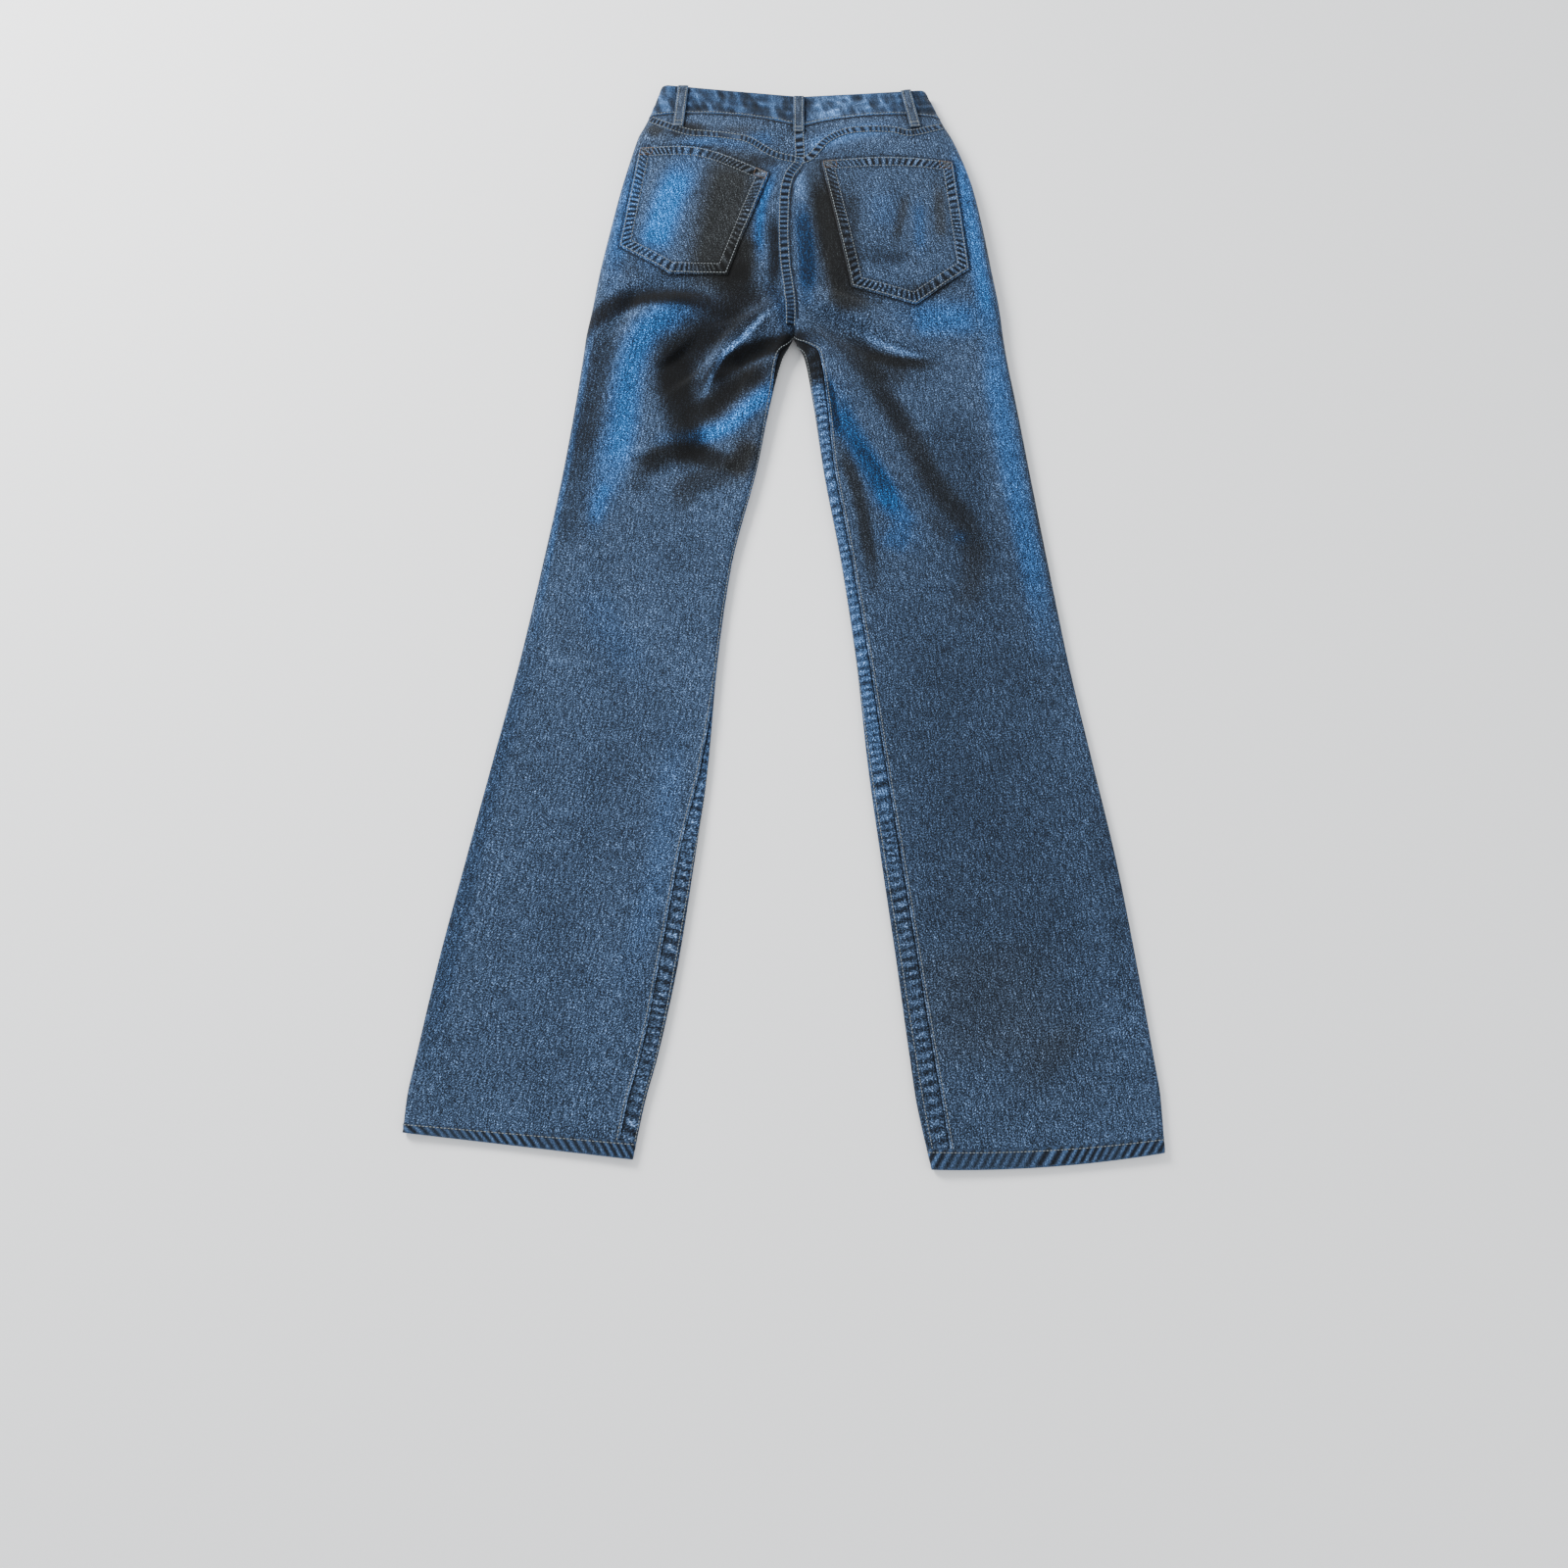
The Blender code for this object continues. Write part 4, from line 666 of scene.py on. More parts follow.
def band():
    """Grid of the waistband once round, from its lower front end to the end lapped above it."""
    levels = np.linspace(WAIST_LINE + SEAM_GAP / 2, WAIST_EDGE, BAND_ROWS)
    halves = []
    for table in (LEFT, RIGHT):
        sections = Sections(table, levels)
        lower = sections.lower()
        upper = sections.upper()
        whole = np.concatenate([lower, upper[:, 1:]], axis=1)
        seam = lengths(lower)[:, -1:]
        widest = seam + lengths(upper[:, :EDGE_STEPS])[:, -1:]
        end = lengths(whole)[:, -1:]
        chosen = np.concatenate([
            spread(0, seam, np.linspace(0, 1, FLOOR_COLUMNS))[:, :-1],
            spread(seam, widest, np.linspace(0, 1, 9))[:, :-1],
            spread(widest, end, crowded(BAND_COLUMNS, (0, 0.10, 2.0))),
        ], axis=1)
        halves.append(pick(whole, chosen))
    points = halves[1][:, ::-1].copy()
    reach = points[:, :, 0] - points[:, -1:, 0]
    reach[:, :-FLOOR_COLUMNS] = 1.0
    points[:, :, 2] += LAP_RISE * ease((0.045 - reach) / 0.030)
    lap = points[:, -1:] - np.linspace(0, LAP, 14)[None, 1:, None] * np.array([1.0, 0, 0])
    return np.concatenate([halves[0], points[:, 1:], lap], axis=1), levels


def node(tree, kind, inputs=None, **settings):
    made = tree.nodes.new(kind)
    for name, value in settings.items():
        setattr(made, name, value)
    for name, value in (inputs or {}).items():
        if isinstance(value, bpy.types.NodeSocket):
            tree.links.new(value, made.inputs[name])
        else:
            made.inputs[name].default_value = value
    return made


def maths(tree, operation, first, second=0.0, third=0.0):
    return node(tree, "ShaderNodeMath", {0: first, 1: second, 2: third},
                operation=operation).outputs[0]


def group(name, inputs, outputs):
    tree = bpy.data.node_groups.new(name, "ShaderNodeTree")
    for socket, kind, value in inputs:
        made = tree.interface.new_socket(socket, in_out="INPUT", socket_type=kind)
        made.default_value = value
    for socket, kind in outputs:
        tree.interface.new_socket(socket, in_out="OUTPUT", socket_type=kind)
    return tree, tree.nodes.new("NodeGroupInput"), tree.nodes.new("NodeGroupOutput")


def twill_group():
    """Yarns of the twill: fuzzy slanted grain over fine slanted ribs, on a map in metres."""
    tree, given, result = group(
        "twill",
        [("Cloth", "NodeSocketVector", (0, 0, 0)), ("Slant", "NodeSocketFloat", 0.6)],
        [("Grain", "NodeSocketFloat"), ("Height", "NodeSocketFloat")],
    )
    turned = node(tree, "ShaderNodeVectorRotate",
                  {"Vector": given.outputs["Cloth"], "Angle": given.outputs["Slant"]},
                  rotation_type="Z_AXIS").outputs[0]
    streaks = node(tree, "ShaderNodeMapping", {"Vector": turned, "Scale": (900, 640, 1)})
    fuzz = node(tree, "ShaderNodeTexNoise",
                {"Vector": streaks.outputs[0], "Scale": 1.0, "Detail": 2.0, "Roughness": 0.7},
                noise_dimensions="2D").outputs[0]
    yarns = node(tree, "ShaderNodeMapping", {"Vector": given.outputs["Cloth"],
                                             "Scale": (520, 90, 1)})
    slub = node(tree, "ShaderNodeTexNoise",
                {"Vector": yarns.outputs[0], "Scale": 1.0, "Detail": 1.0},
                noise_dimensions="2D").outputs[0]
    ribs = node(tree, "ShaderNodeTexWave",
                {"Vector": turned, "Scale": 180.0, "Distortion": 1.5, "Detail": 0.0},
                bands_direction="X").outputs[1]
    grain = maths(tree, "MULTIPLY_ADD", fuzz, 2.2, -1.1)
    grain = maths(tree, "MULTIPLY_ADD", maths(tree, "SUBTRACT", slub, 0.5), 0.55, grain)
    tree.links.new(grain, result.inputs["Grain"])
    tree.links.new(maths(tree, "MULTIPLY_ADD", ribs, 0.4, fuzz), result.inputs["Height"])
    return tree


def indigo_group():
    """Dyed cloth: steps of lightness and a share of blue, which carry painted light and shade too, make
    the colour.
    """
    tree, given, result = group(
        "indigo",
        [("Tone", "NodeSocketFloat", 0.0), ("Blue", "NodeSocketFloat", 0.5),
         ("Grain", "NodeSocketFloat", 0.0), ("Contrast", "NodeSocketFloat", 1.0)],
        [("Colour", "NodeSocketColor")],
    )
    hue = node(tree, "ShaderNodeMix", {"Factor": given.outputs["Blue"], "A": GREY_DYE_AND_SHADE,
                                       "B": BLUE_DYE_AND_LIGHT}, data_type="RGBA").outputs["Result"]
    tone = maths(tree, "MULTIPLY_ADD", given.outputs["Grain"], given.outputs["Contrast"],
                 given.outputs["Tone"])
    strength = maths(tree, "POWER", 2.0, tone)
    colour = node(tree, "ShaderNodeVectorMath", {0: hue, "Scale": strength}, operation="SCALE")
    tree.links.new(colour.outputs[0], result.inputs["Colour"])
    return tree


def mottle_group():
    """Uneven wash over broad areas."""
    tree, given, result = group(
        "mottle", [("Size", "NodeSocketFloat", 30.0)], [("Value", "NodeSocketFloat")])
    place = node(tree, "ShaderNodeTexCoord").outputs["Object"]
    broad = node(tree, "ShaderNodeTexNoise", {"Vector": place, "Scale": given.outputs["Size"],
                                              "Detail": 3.0}).outputs[0]
    tree.links.new(maths(tree, "SUBTRACT", broad, 0.5), result.inputs["Value"])
    return tree


def denim(name, slant=0.6, contrast=6.0, wash=0.8, bump=0.6):
    """Denim over a piece's own cloth map, tone and blue."""
    paint = bpy.data.materials.new(name)
    paint.use_nodes = True
    tree = paint.node_tree
    shader = tree.nodes["Principled BSDF"]
    cloth = node(tree, "ShaderNodeUVMap", uv_map="cloth").outputs[0]
    weave = node(tree, "ShaderNodeGroup", {}, node_tree=TWILL)
    tree.links.new(cloth, weave.inputs["Cloth"])
    weave.inputs["Slant"].default_value = slant
    tone = node(tree, "ShaderNodeAttribute", attribute_name="tone").outputs["Fac"]
    blue = node(tree, "ShaderNodeAttribute", attribute_name="blue").outputs["Fac"]
    mottle = node(tree, "ShaderNodeGroup", {}, node_tree=MOTTLE)
    mottle.inputs["Size"].default_value = 28.0
    washed = maths(tree, "MULTIPLY_ADD", mottle.outputs[0], wash, tone)
    dye = node(tree, "ShaderNodeGroup", {}, node_tree=INDIGO)
    tree.links.new(washed, dye.inputs["Tone"])
    tree.links.new(blue, dye.inputs["Blue"])
    tree.links.new(weave.outputs["Grain"], dye.inputs["Grain"])
    dye.inputs["Contrast"].default_value = contrast
    tree.links.new(dye.outputs[0], shader.inputs["Base Color"])
    relief = node(tree, "ShaderNodeBump", {"Strength": bump, "Distance": 0.0004,
                                           "Height": weave.outputs["Height"]})
    tree.links.new(relief.outputs[0], shader.inputs["Normal"])
    shader.inputs["Roughness"].default_value = 0.92
    shader.inputs["Specular IOR Level"].default_value = 0.18
    shader.inputs["Sheen Weight"].default_value = 0.06
    shader.inputs["Sheen Roughness"].default_value = 0.5
    return paint


def thread_paint(name):
    """Topstitching thread, beige, or tan where the piece's own attribute says so."""
    paint = bpy.data.materials.new(name)
    paint.use_nodes = True
    tree = paint.node_tree
    shader = tree.nodes["Principled BSDF"]
    tan = node(tree, "ShaderNodeAttribute", attribute_name="tan").outputs["Fac"]
    colour = node(tree, "ShaderNodeMix", {"Factor": tan, "A": BEIGE_THREAD, "B": TAN_THREAD},
                  data_type="RGBA").outputs["Result"]
    mottle = node(tree, "ShaderNodeGroup", {}, node_tree=MOTTLE)
    mottle.inputs["Size"].default_value = 400.0
    lift = maths(tree, "MULTIPLY_ADD", mottle.outputs[0], 1.2, 1.0)
    worn = node(tree, "ShaderNodeVectorMath", {0: colour, "Scale": lift}, operation="SCALE")
    tree.links.new(worn.outputs[0], shader.inputs["Base Color"])
    shader.inputs["Roughness"].default_value = 0.7
    return paint


def brass_paint(name):
    paint = bpy.data.materials.new(name)
    paint.use_nodes = True
    tree = paint.node_tree
    shader = tree.nodes["Principled BSDF"]
    mottle = node(tree, "ShaderNodeGroup", {}, node_tree=MOTTLE)
    mottle.inputs["Size"].default_value = 300.0
    colour = node(tree, "ShaderNodeMix", {"A": (0.55, 0.35, 0.16, 1), "B": (0.30, 0.18, 0.09, 1)},
                  data_type="RGBA")
    tree.links.new(maths(tree, "ADD", mottle.outputs[0], 0.4), colour.inputs["Factor"])
    tree.links.new(colour.outputs["Result"], shader.inputs["Base Color"])
    shader.inputs["Metallic"].default_value = 1.0
    shader.inputs["Roughness"].default_value = 0.42
    return paint


def place_piece(name, mesh, paint, nodes=(), thickness=None):
    """Makes a finished bmesh a piece that rides with the jeans."""
    bmesh.ops.translate(mesh, vec=TO_MIDDLE, verts=mesh.verts[:])
    data = bpy.data.meshes.new(name)
    mesh.to_mesh(data)
    mesh.free()
    data.shade_smooth()
    data.materials.append(paint)
    piece = bpy.data.objects.new(name, data)
    bpy.context.scene.collection.objects.link(piece)
    if thickness:
        wall = piece.modifiers.new("cloth_wall", "SOLIDIFY")
        wall.thickness = thickness
        wall.offset = -1
    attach(piece, "root")
    if nodes:
        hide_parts(*nodes)
    return piece


def cloth_mesh(points, tone, blue, side=1, cloth=None, closed=False):
    """A grid of cloth with its tone, its blue and a map in metres."""
    rows, columns = points.shape[:2]
    mesh = bmesh.new()
    cloth_map = mesh.loops.layers.uv.new("cloth")
    tone_layer = mesh.verts.layers.float.new("tone")
    blue_layer = mesh.verts.layers.float.new("blue")
    bmesh.ops.create_grid(mesh, x_segments=columns - 1, y_segments=rows - 1, size=1)
    if cloth is None:
        run = lengths(points[rows // 2][None])[0]
        rise = lengths(points[:, columns // 2][None])[0]
        cloth = np.stack(np.broadcast_arrays(run[None] * side, rise[:, None]), axis=-1)
    flat = points.reshape(-1, 3)
    tones = np.broadcast_to(tone, (rows, columns)).ravel()
    blues = np.broadcast_to(blue, (rows, columns)).ravel()
    for k, vert in enumerate(mesh.verts):
        vert.co = flat[k]
        vert[tone_layer] = tones[k]
        vert[blue_layer] = blues[k]
    places = cloth.reshape(-1, 2)
    for face in mesh.faces:
        for loop in face.loops:
            loop[cloth_map].uv = places[loop.vert.index]
    if side < 0:
        bmesh.ops.reverse_faces(mesh, faces=mesh.faces[:])
    if closed:
        bmesh.ops.remove_doubles(mesh, verts=mesh.verts[:], dist=1e-6)
    return mesh


# Painted light and shade of the folds, together with the dye's fade, at places in plan
def shading_and_fade_at(x, y):
    tone = sum(shade.tone * nearness(x, y, shade, 3) for shade in SHADING_AND_FADE)
    blue = sum(shade.blue * nearness(x, y, shade, 3) for shade in SHADING_AND_FADE)
    return np.clip(BASE_TONE + tone, -6.5, 0.6), np.clip(BASE_BLUE + blue, 0, 1)


def along_line(x, y, path, width):
    """1 on a line in plan, fading evenly to both sides."""
    path = np.array(path)
    nearest = np.full(x.shape, np.inf)
    for start, end in zip(path[:-1], path[1:]):
        run = end - start
        t = np.clip(((x - start[0]) * run[0] + (y - start[1]) * run[1]) / (run @ run), 0, 1)
        nearest = np.minimum(nearest, np.hypot(x - start[0] - t * run[0], y - start[1] - t * run[1]))
    return np.exp(-((nearest / width) ** 2))


def shadows_at(x, y):
    """Painted shadow close beside the pockets, the belt loops and the seams that stand up."""
    dark = 0 * x
    for corners in POCKETS.values():
        dark = dark + 2.6 * along_line(x, y, corners + corners[:1], 0.0022)
    for side, top, bottom in BACK_LOOPS.values():
        below = (bottom[0], bottom[1] - 0.001)
        dark = dark + 2.3 * along_line(x, y, [top, below], LOOP_WIDTH / 2 + 0.0022)
    crevice = [(smooth(LEFT, "in_x", level) + 0.0030, smooth(LEFT, "in_y", level))
               for level in np.linspace(0.85, 1.03, 10)]
    return dark + 3.0 * along_line(x, y, crevice, 0.0018)


def pushed(points, normal, amount):
    """Points moved out by an amount, but never through the floor."""
    moved = points + normal * amount[..., None]
    moved[..., 2] = np.maximum(moved[..., 2], 0)
    return moved


class Top:
    """The cloth that has been laid so far, seen from above."""

    def __init__(self, grids):
        corners = []
        faces = []
        for points in grids:
            rows, columns = points.shape[:2]
            first = len(corners)
            corners += [tuple(p) for p in points.reshape(-1, 3)]
            index = first + np.arange(rows * columns).reshape(rows, columns)
            quads = np.stack([index[:-1, :-1], index[:-1, 1:], index[1:, 1:], index[1:, :-1]], -1)
            faces += quads.reshape(-1, 4).tolist()
        self.tree = BVHTree.FromPolygons(corners, faces)

    def under(self, x, y):
        """Heights and normals under places in plan; off the cloth, those of the nearest cloth."""
        height = np.zeros(x.shape)
        normal = np.zeros(x.shape + (3,))
        for k in np.ndindex(x.shape):
            hit = self.tree.ray_cast(Vector((x[k], y[k], 1.0)), Vector((0, 0, -1)))
            if hit[0] is None:
                hit = self.tree.find_nearest(Vector((x[k], y[k], 0.02)))
            height[k] = hit[0].z
            facing = hit[1] if hit[1].z > 0 else -hit[1]
            normal[k] = facing
        return height, normal

    def covers(self, x, y, reach):
        """Whether the cloth lies under places and a reach to each side of them."""
        down = Vector((0, 0, -1))
        inside = np.ones(x.shape, bool)
        for k in range(len(x)):
            for side in (-reach, reach):
                inside[k] &= self.tree.ray_cast(Vector((x[k] + side, y[k], 1.0)), down)[0] is not None
        return inside


def evenly(path, step):
    """A line in plan at even steps, with its sideways directions."""
    path = np.array(path, float)
    run = lengths(np.pad(path, ((0, 0), (0, 1)))[None])[0]
    where = np.linspace(0, run[-1], max(3, int(run[-1] / step) + 1))
    line = np.stack([np.interp(where, run, path[:, k]) for k in range(2)], axis=-1)
    for _ in range(3):
        line[1:-1] = (line[:-2] + 2 * line[1:-1] + line[2:]) / 4
    along = np.gradient(line, axis=0)
    along /= np.linalg.norm(along, axis=1, keepdims=True)
    return line, np.stack([-along[:, 1], along[:, 0]], axis=-1), where


def curved(path, step=0.001):
    """A smooth curve through a few places in plan."""
    path = np.array(path, float)
    ends = np.concatenate([[2 * path[0] - path[1]], path, [2 * path[-1] - path[-2]]])
    pieces = []
    for k in range(1, len(ends) - 2):
        t = np.linspace(0, 1, 24)[:-1, None]
        a, b, c, d = ends[k - 1: k + 3]
        pieces.append(0.5 * (2 * b + (c - a) * t + (2 * a - 5 * b + 4 * c - d) * t**2
                             + (3 * b - a - 3 * c + d) * t**3))
    return np.concatenate(pieces + [path[-1:]])


def pucker(where, across, pitch, seed):
    """Bulges between stitch rows, one to a pitch and slanted, as rows draw the cloth up."""
    shift = wander(where / (6 * pitch), 0 * where + seed, seed)
    wave = np.sin(2 * pi * (where / pitch + across * 0.35 + 1.4 * shift))
    size = 0.85 + 0.35 * wander(where / (2.5 * pitch), 0 * where + seed + 9, seed + 1)
    return wave * size


STITCHES = []


def stitch(line, normal, pitch=0.0034, length=0.0025, radius=0.00042, tan=0.0, lift=0.0002):
    """Adds a row of stitches along points on the cloth."""
    run = lengths(line[None])[0]
    count = int(run[-1] / pitch)
    starts = (np.arange(count) + 0.5) * pitch
    at = lambda where: np.stack([np.interp(where, run, line[:, k]) for k in range(3)], axis=-1)
    up = np.stack([np.interp(starts, run, normal[:, k]) for k in range(3)], axis=-1)
    middle = at(starts)
    along = at(starts + length / 2) - at(starts - length / 2)
    for k in range(count):
        STITCHES.append((middle[k] + up[k] * lift, along[k], up[k], length, radius, tan))


def sew():
    """All the stitches as one piece, each a short round thread sunk at its ends."""
    mesh = bmesh.new()
    tan_layer = mesh.verts.layers.float.new("tan")
    bmesh.ops.create_cone(mesh, cap_ends=True, segments=5, radius1=1, radius2=1, depth=1)
    bmesh.ops.subdivide_edges(
        mesh, edges=[e for e in mesh.edges if abs(e.verts[0].co.z - e.verts[1].co.z) > 0.5], cuts=1)
    for vert in mesh.verts:
        if abs(vert.co.z) > 0.1:
            vert.co.x *= 0.55
            vert.co.y *= 0.55
    shape = mesh.verts[:]
    for k, (middle, along, up, length, radius, tan) in enumerate(STITCHES):
        if k < len(STITCHES) - 1:
            copy = bmesh.ops.duplicate(mesh, geom=shape + list({e for v in shape for e in v.link_edges})
                                       + list({f for v in shape for f in v.link_faces}))
            verts = [item for item in copy["geom"] if isinstance(item, bmesh.types.BMVert)]
        else:
            verts = shape
        forward = Vector(along).normalized()
        upward = Vector(up).normalized()
        sideways = forward.cross(upward).normalized()
        upward = sideways.cross(forward)
        for vert in verts:
            local = vert.co.copy()
            ends = abs(local.z) > 0.1
            vert.co = (Vector(middle) + forward * local.z * length
                       + sideways * local.x * radius * 1.15
                       + upward * (local.y * radius - (0.5 * radius if ends else 0)))
            vert[tan_layer] = tan
    piece = place_piece("stitches", mesh, THREAD)
    return piece


def seam_strip(name, path, width, pitch, seed, rows=9, rise=0.0009, ends=0.0, tone=-0.1,
               blue=0.5, stitch_at=(0.40,), edge_light=1.7, part=TWO_SIDES):
    """A felled seam: a raised band along a line in plan, puckered between its stitch rows."""
    line, sideways, where = evenly(path, 0.0012)
    on = LAID.covers(line[:, 0], line[:, 1], width * 0.55)
    line, sideways, where = line[on], sideways[on], where[on]
    share = np.linspace(-0.5, 0.5, rows)
    x = line[:, None, 0] + sideways[:, None, 0] * share[None] * width
    y = line[:, None, 1] + sideways[:, None, 1] * share[None] * width
    height, normal = LAID.under(x, y)
    for _ in range(2):
        height[1:-1] = (height[:-2] + 2 * height[1:-1] + height[2:]) / 4
    body = np.clip((0.5 - abs(share)) / 0.08, 0, 1)[None] ** 0.6
    middle = np.clip((0.40 - abs(share)) / 0.14, 0, 1)[None]
    waves = pucker(where[:, None] + 0 * x, share[None] + 0 * x, pitch, seed)
    out = -0.0004 + (rise + 0.0004) * body + 0.00035 * waves * middle
    points = np.stack([x, y, height], axis=-1) + normal * out[..., None]
    base_tone, base_blue = shading_and_fade_at(x, y)
    shown = BASE_TONE + 0.4 * (base_tone - BASE_TONE) + tone
    # Puckers: paler crests from wear, troughs darkened further as painted shade
    shown = shown + (1.7 * waves - 2.4 * np.clip(-waves, 0, 2) - 0.2) * middle
    shown += edge_light * np.clip(1 - (0.5 - abs(share)) / 0.10, 0, 1)[None]
    mesh = cloth_mesh(points, shown, 0.6 * base_blue + 0.4 * blue + 0 * x,
                      side=1, cloth=np.stack([share[None] * width + 0 * x, where[:, None] + 0 * x], -1))
    bmesh.ops.recalc_face_normals(mesh, faces=mesh.faces[:])
    if sum(face.normal.z for face in mesh.faces) < 0:
        bmesh.ops.reverse_faces(mesh, faces=mesh.faces[:])
    for at in stitch_at:
        for turn in (-1, 1):
            column = int(round((0.5 + turn * at) * (rows - 1)))
            stitch(points[:, column], normal[:, column])
    return place_piece(name, mesh, SEAM_DENIM)


def declare(points):
    """Works out the length of a panel's longest column; nothing is done with it."""
    length = float(lengths(points.transpose(1, 0, 2))[:, -1].max())


def lay_back(side, table, sign, back, yoke):
    """The back panel and its yoke, creased and faded, with painted light and shade on their creases."""
    made = {}
    for name, base in (("back", back), ("yoke", yoke)):
        normal = out_of(base, sign)
        x = base[..., 0]
        y = base[..., 1]
        facing = np.clip(normal[..., 2] * 1.4 - 0.3, 0, 1)
        run = lengths(base)
        inner = run[:, -1:] - run
        creases = fold_height(x, y, CREASES)
        soft = 0.00035 * wander(x / 0.035, y / 0.055, 3) + 0.00018 * wander(x / 0.012, y / 0.016, 5)
        drawn = 0.00030 * wander(x / 0.010 + 40, y / 0.006, 7) * np.exp(-inner / 0.012)
        legs = base[:, -1:, 1] < FORK_Y
        lap = np.where(legs, 0.0006 * ease(1 - inner / 0.0035), 0) if name == "back" else 0
        points = pushed(base, normal, (creases + soft + drawn) * facing + lap)
        tone, blue = shading_and_fade_at(x, y)
        # Painted light and shade: lighter on the raised creases, darker in their troughs; then the painted
        # shadows beside the pockets, loops and centre seam
        tone = tone + 260 * creases + 450 * soft - shadows_at(x, y)
        if name == "yoke":
            # Painted shadow along the yoke just under the waistband's edge
            under_band = np.hypot(x - x[-1:], y - y[-1:])
            tone = tone - 3.0 * np.exp(-((under_band / 0.0024) ** 2))
        if name == "back":
            edge = np.where(legs, 1.0, 0.0)
            tone = tone + edge * (1.4 * ease(1 - inner / 0.0016) + 0.5 * ease(1 - inner / 0.008)
                                  * wander(inner / 0.004, y / 0.005, 11))
        # Painted shade on the low sides that turn down towards the floor
        below = ease((0.012 - base[..., 2]) / 0.006) * (1 - facing)
        tone = tone - 0.3 * below
        mesh = cloth_mesh(points, tone, blue, sign)
        made[name] = (mesh, points, normal, inner)
    mesh, points, normal, inner = made["back"]
    legs = points[:, -1, 1] < FORK_Y
    for k in range(3):
        column = np.argmin(abs(inner - 0.0022), axis=1)
    line = points[np.arange(len(points)), column][legs]
    stitch(line, normal[np.arange(len(points)), column][legs])
    return made


def lay_front(name, side, table, sign):
    base, levels, near = front(table)
    normal = out_of(base, sign)
    run = lengths(base)
    legs = ease((FORK - levels) / 0.01)[:, None]
    along = levels[:, None] + 0 * run
    band_reach = np.exp(-((run - 0.008) / 0.008) ** 2)
    waves = pucker(along, run / 0.012, 0.0088, 21 if sign > 0 else 27)
    soft = 0.00030 * wander(run / 0.03, along / 0.06, 13)
    facing = np.clip(normal[..., 2] * 1.2, 0, 1)
    out = (0.0004 * waves * band_reach * legs + soft) * facing - 0.0004 * ease(1 - run / 0.002) * legs
    under = np.clip(-normal[..., 2], 0, 1)
    out = out - under * 0.00035 * (1 + wander(run / 0.02, along / 0.035, 15))
    points = pushed(base, normal, out)
    # Puckers along the inseam band: paler crests from wear, troughs darkened further as painted shade
    tone = BASE_TONE - 0.1 + (1.2 * waves - 1.4 * np.clip(-waves, 0, 2) + 0.9) * band_reach * legs * facing
    # Painted shadow in the crevice at the edge under the back panel, and painted shade on the faces that
    # look down
    tone = tone - 2.2 * ease(1 - run / 0.0024) * legs - 0.2 * under
    x, y = base[..., 0], base[..., 1]
    # Painted shadow in the dark gap at the fork, which takes blue out as well
    deep = ease((y - 0.198) / 0.016) * ease((0.30 - y) / 0.02) * np.exp(-(((x - 0.010) / 0.06) ** 2))
    tone = tone - 4.2 * deep
    low = ease((-0.10 - y) / 0.30)
    tone = tone - 0.6 * low
    blue = BASE_BLUE + 0.16 - 0.3 * deep - 0.16 * low + 0 * run
    mesh = cloth_mesh(points, tone, blue, sign)
    line = points[:, 9][levels < FORK]
    stitch(line, normal[:, 9][levels < FORK])
    piece = place_piece(name + "_denim", mesh, PANEL_DENIM, [name], CLOTH)
    return piece, base, points


def lay_hem(side, table, sign):
    """The turned hem, roped by its stitching."""
    base, levels = hem(table)
    normal = out_of(base, sign)
    run = lengths(base)
    high = levels[:, None] + 0 * run
    waves = pucker(run + high * 0.55, high / 0.02, 0.0082, 31 if sign > 0 else 37)
    body = ease(high / 0.003) * ease((HEM_DEPTH - high) / 0.004 + 0.15)
    facing = np.clip(normal[..., 2], 0, 1)
    out = (0.0005 + 0.00045 * waves * body) * (0.25 + 0.75 * facing) * ease(high / 0.0015 + 0.1)
    out = out - 0.0004 * under_floor(normal)
    points = pushed(base, normal, out)
    # Roping: paler crests from wear, troughs darkened further as painted shade
    tone = BASE_TONE + (1.3 * waves - 1.2 * np.clip(-waves, 0, 2)) * body + 1.0 * ease(1 - high / 0.0018)
    tone = tone - 0.8 * ease(1 - abs(high - 0.0138) / 0.0009)
    mesh = cloth_mesh(points, tone, BASE_BLUE + 0.1 * waves, sign, closed=True)
    row = int(np.argmin(abs(levels - 0.0138)))
    stitch(points[row], normal[row])
    return place_piece("hem_" + side, mesh, SEAM_DENIM, thickness=0.0018)


def under_floor(normal):
    return np.clip(-normal[..., 2], 0, 1) * 0


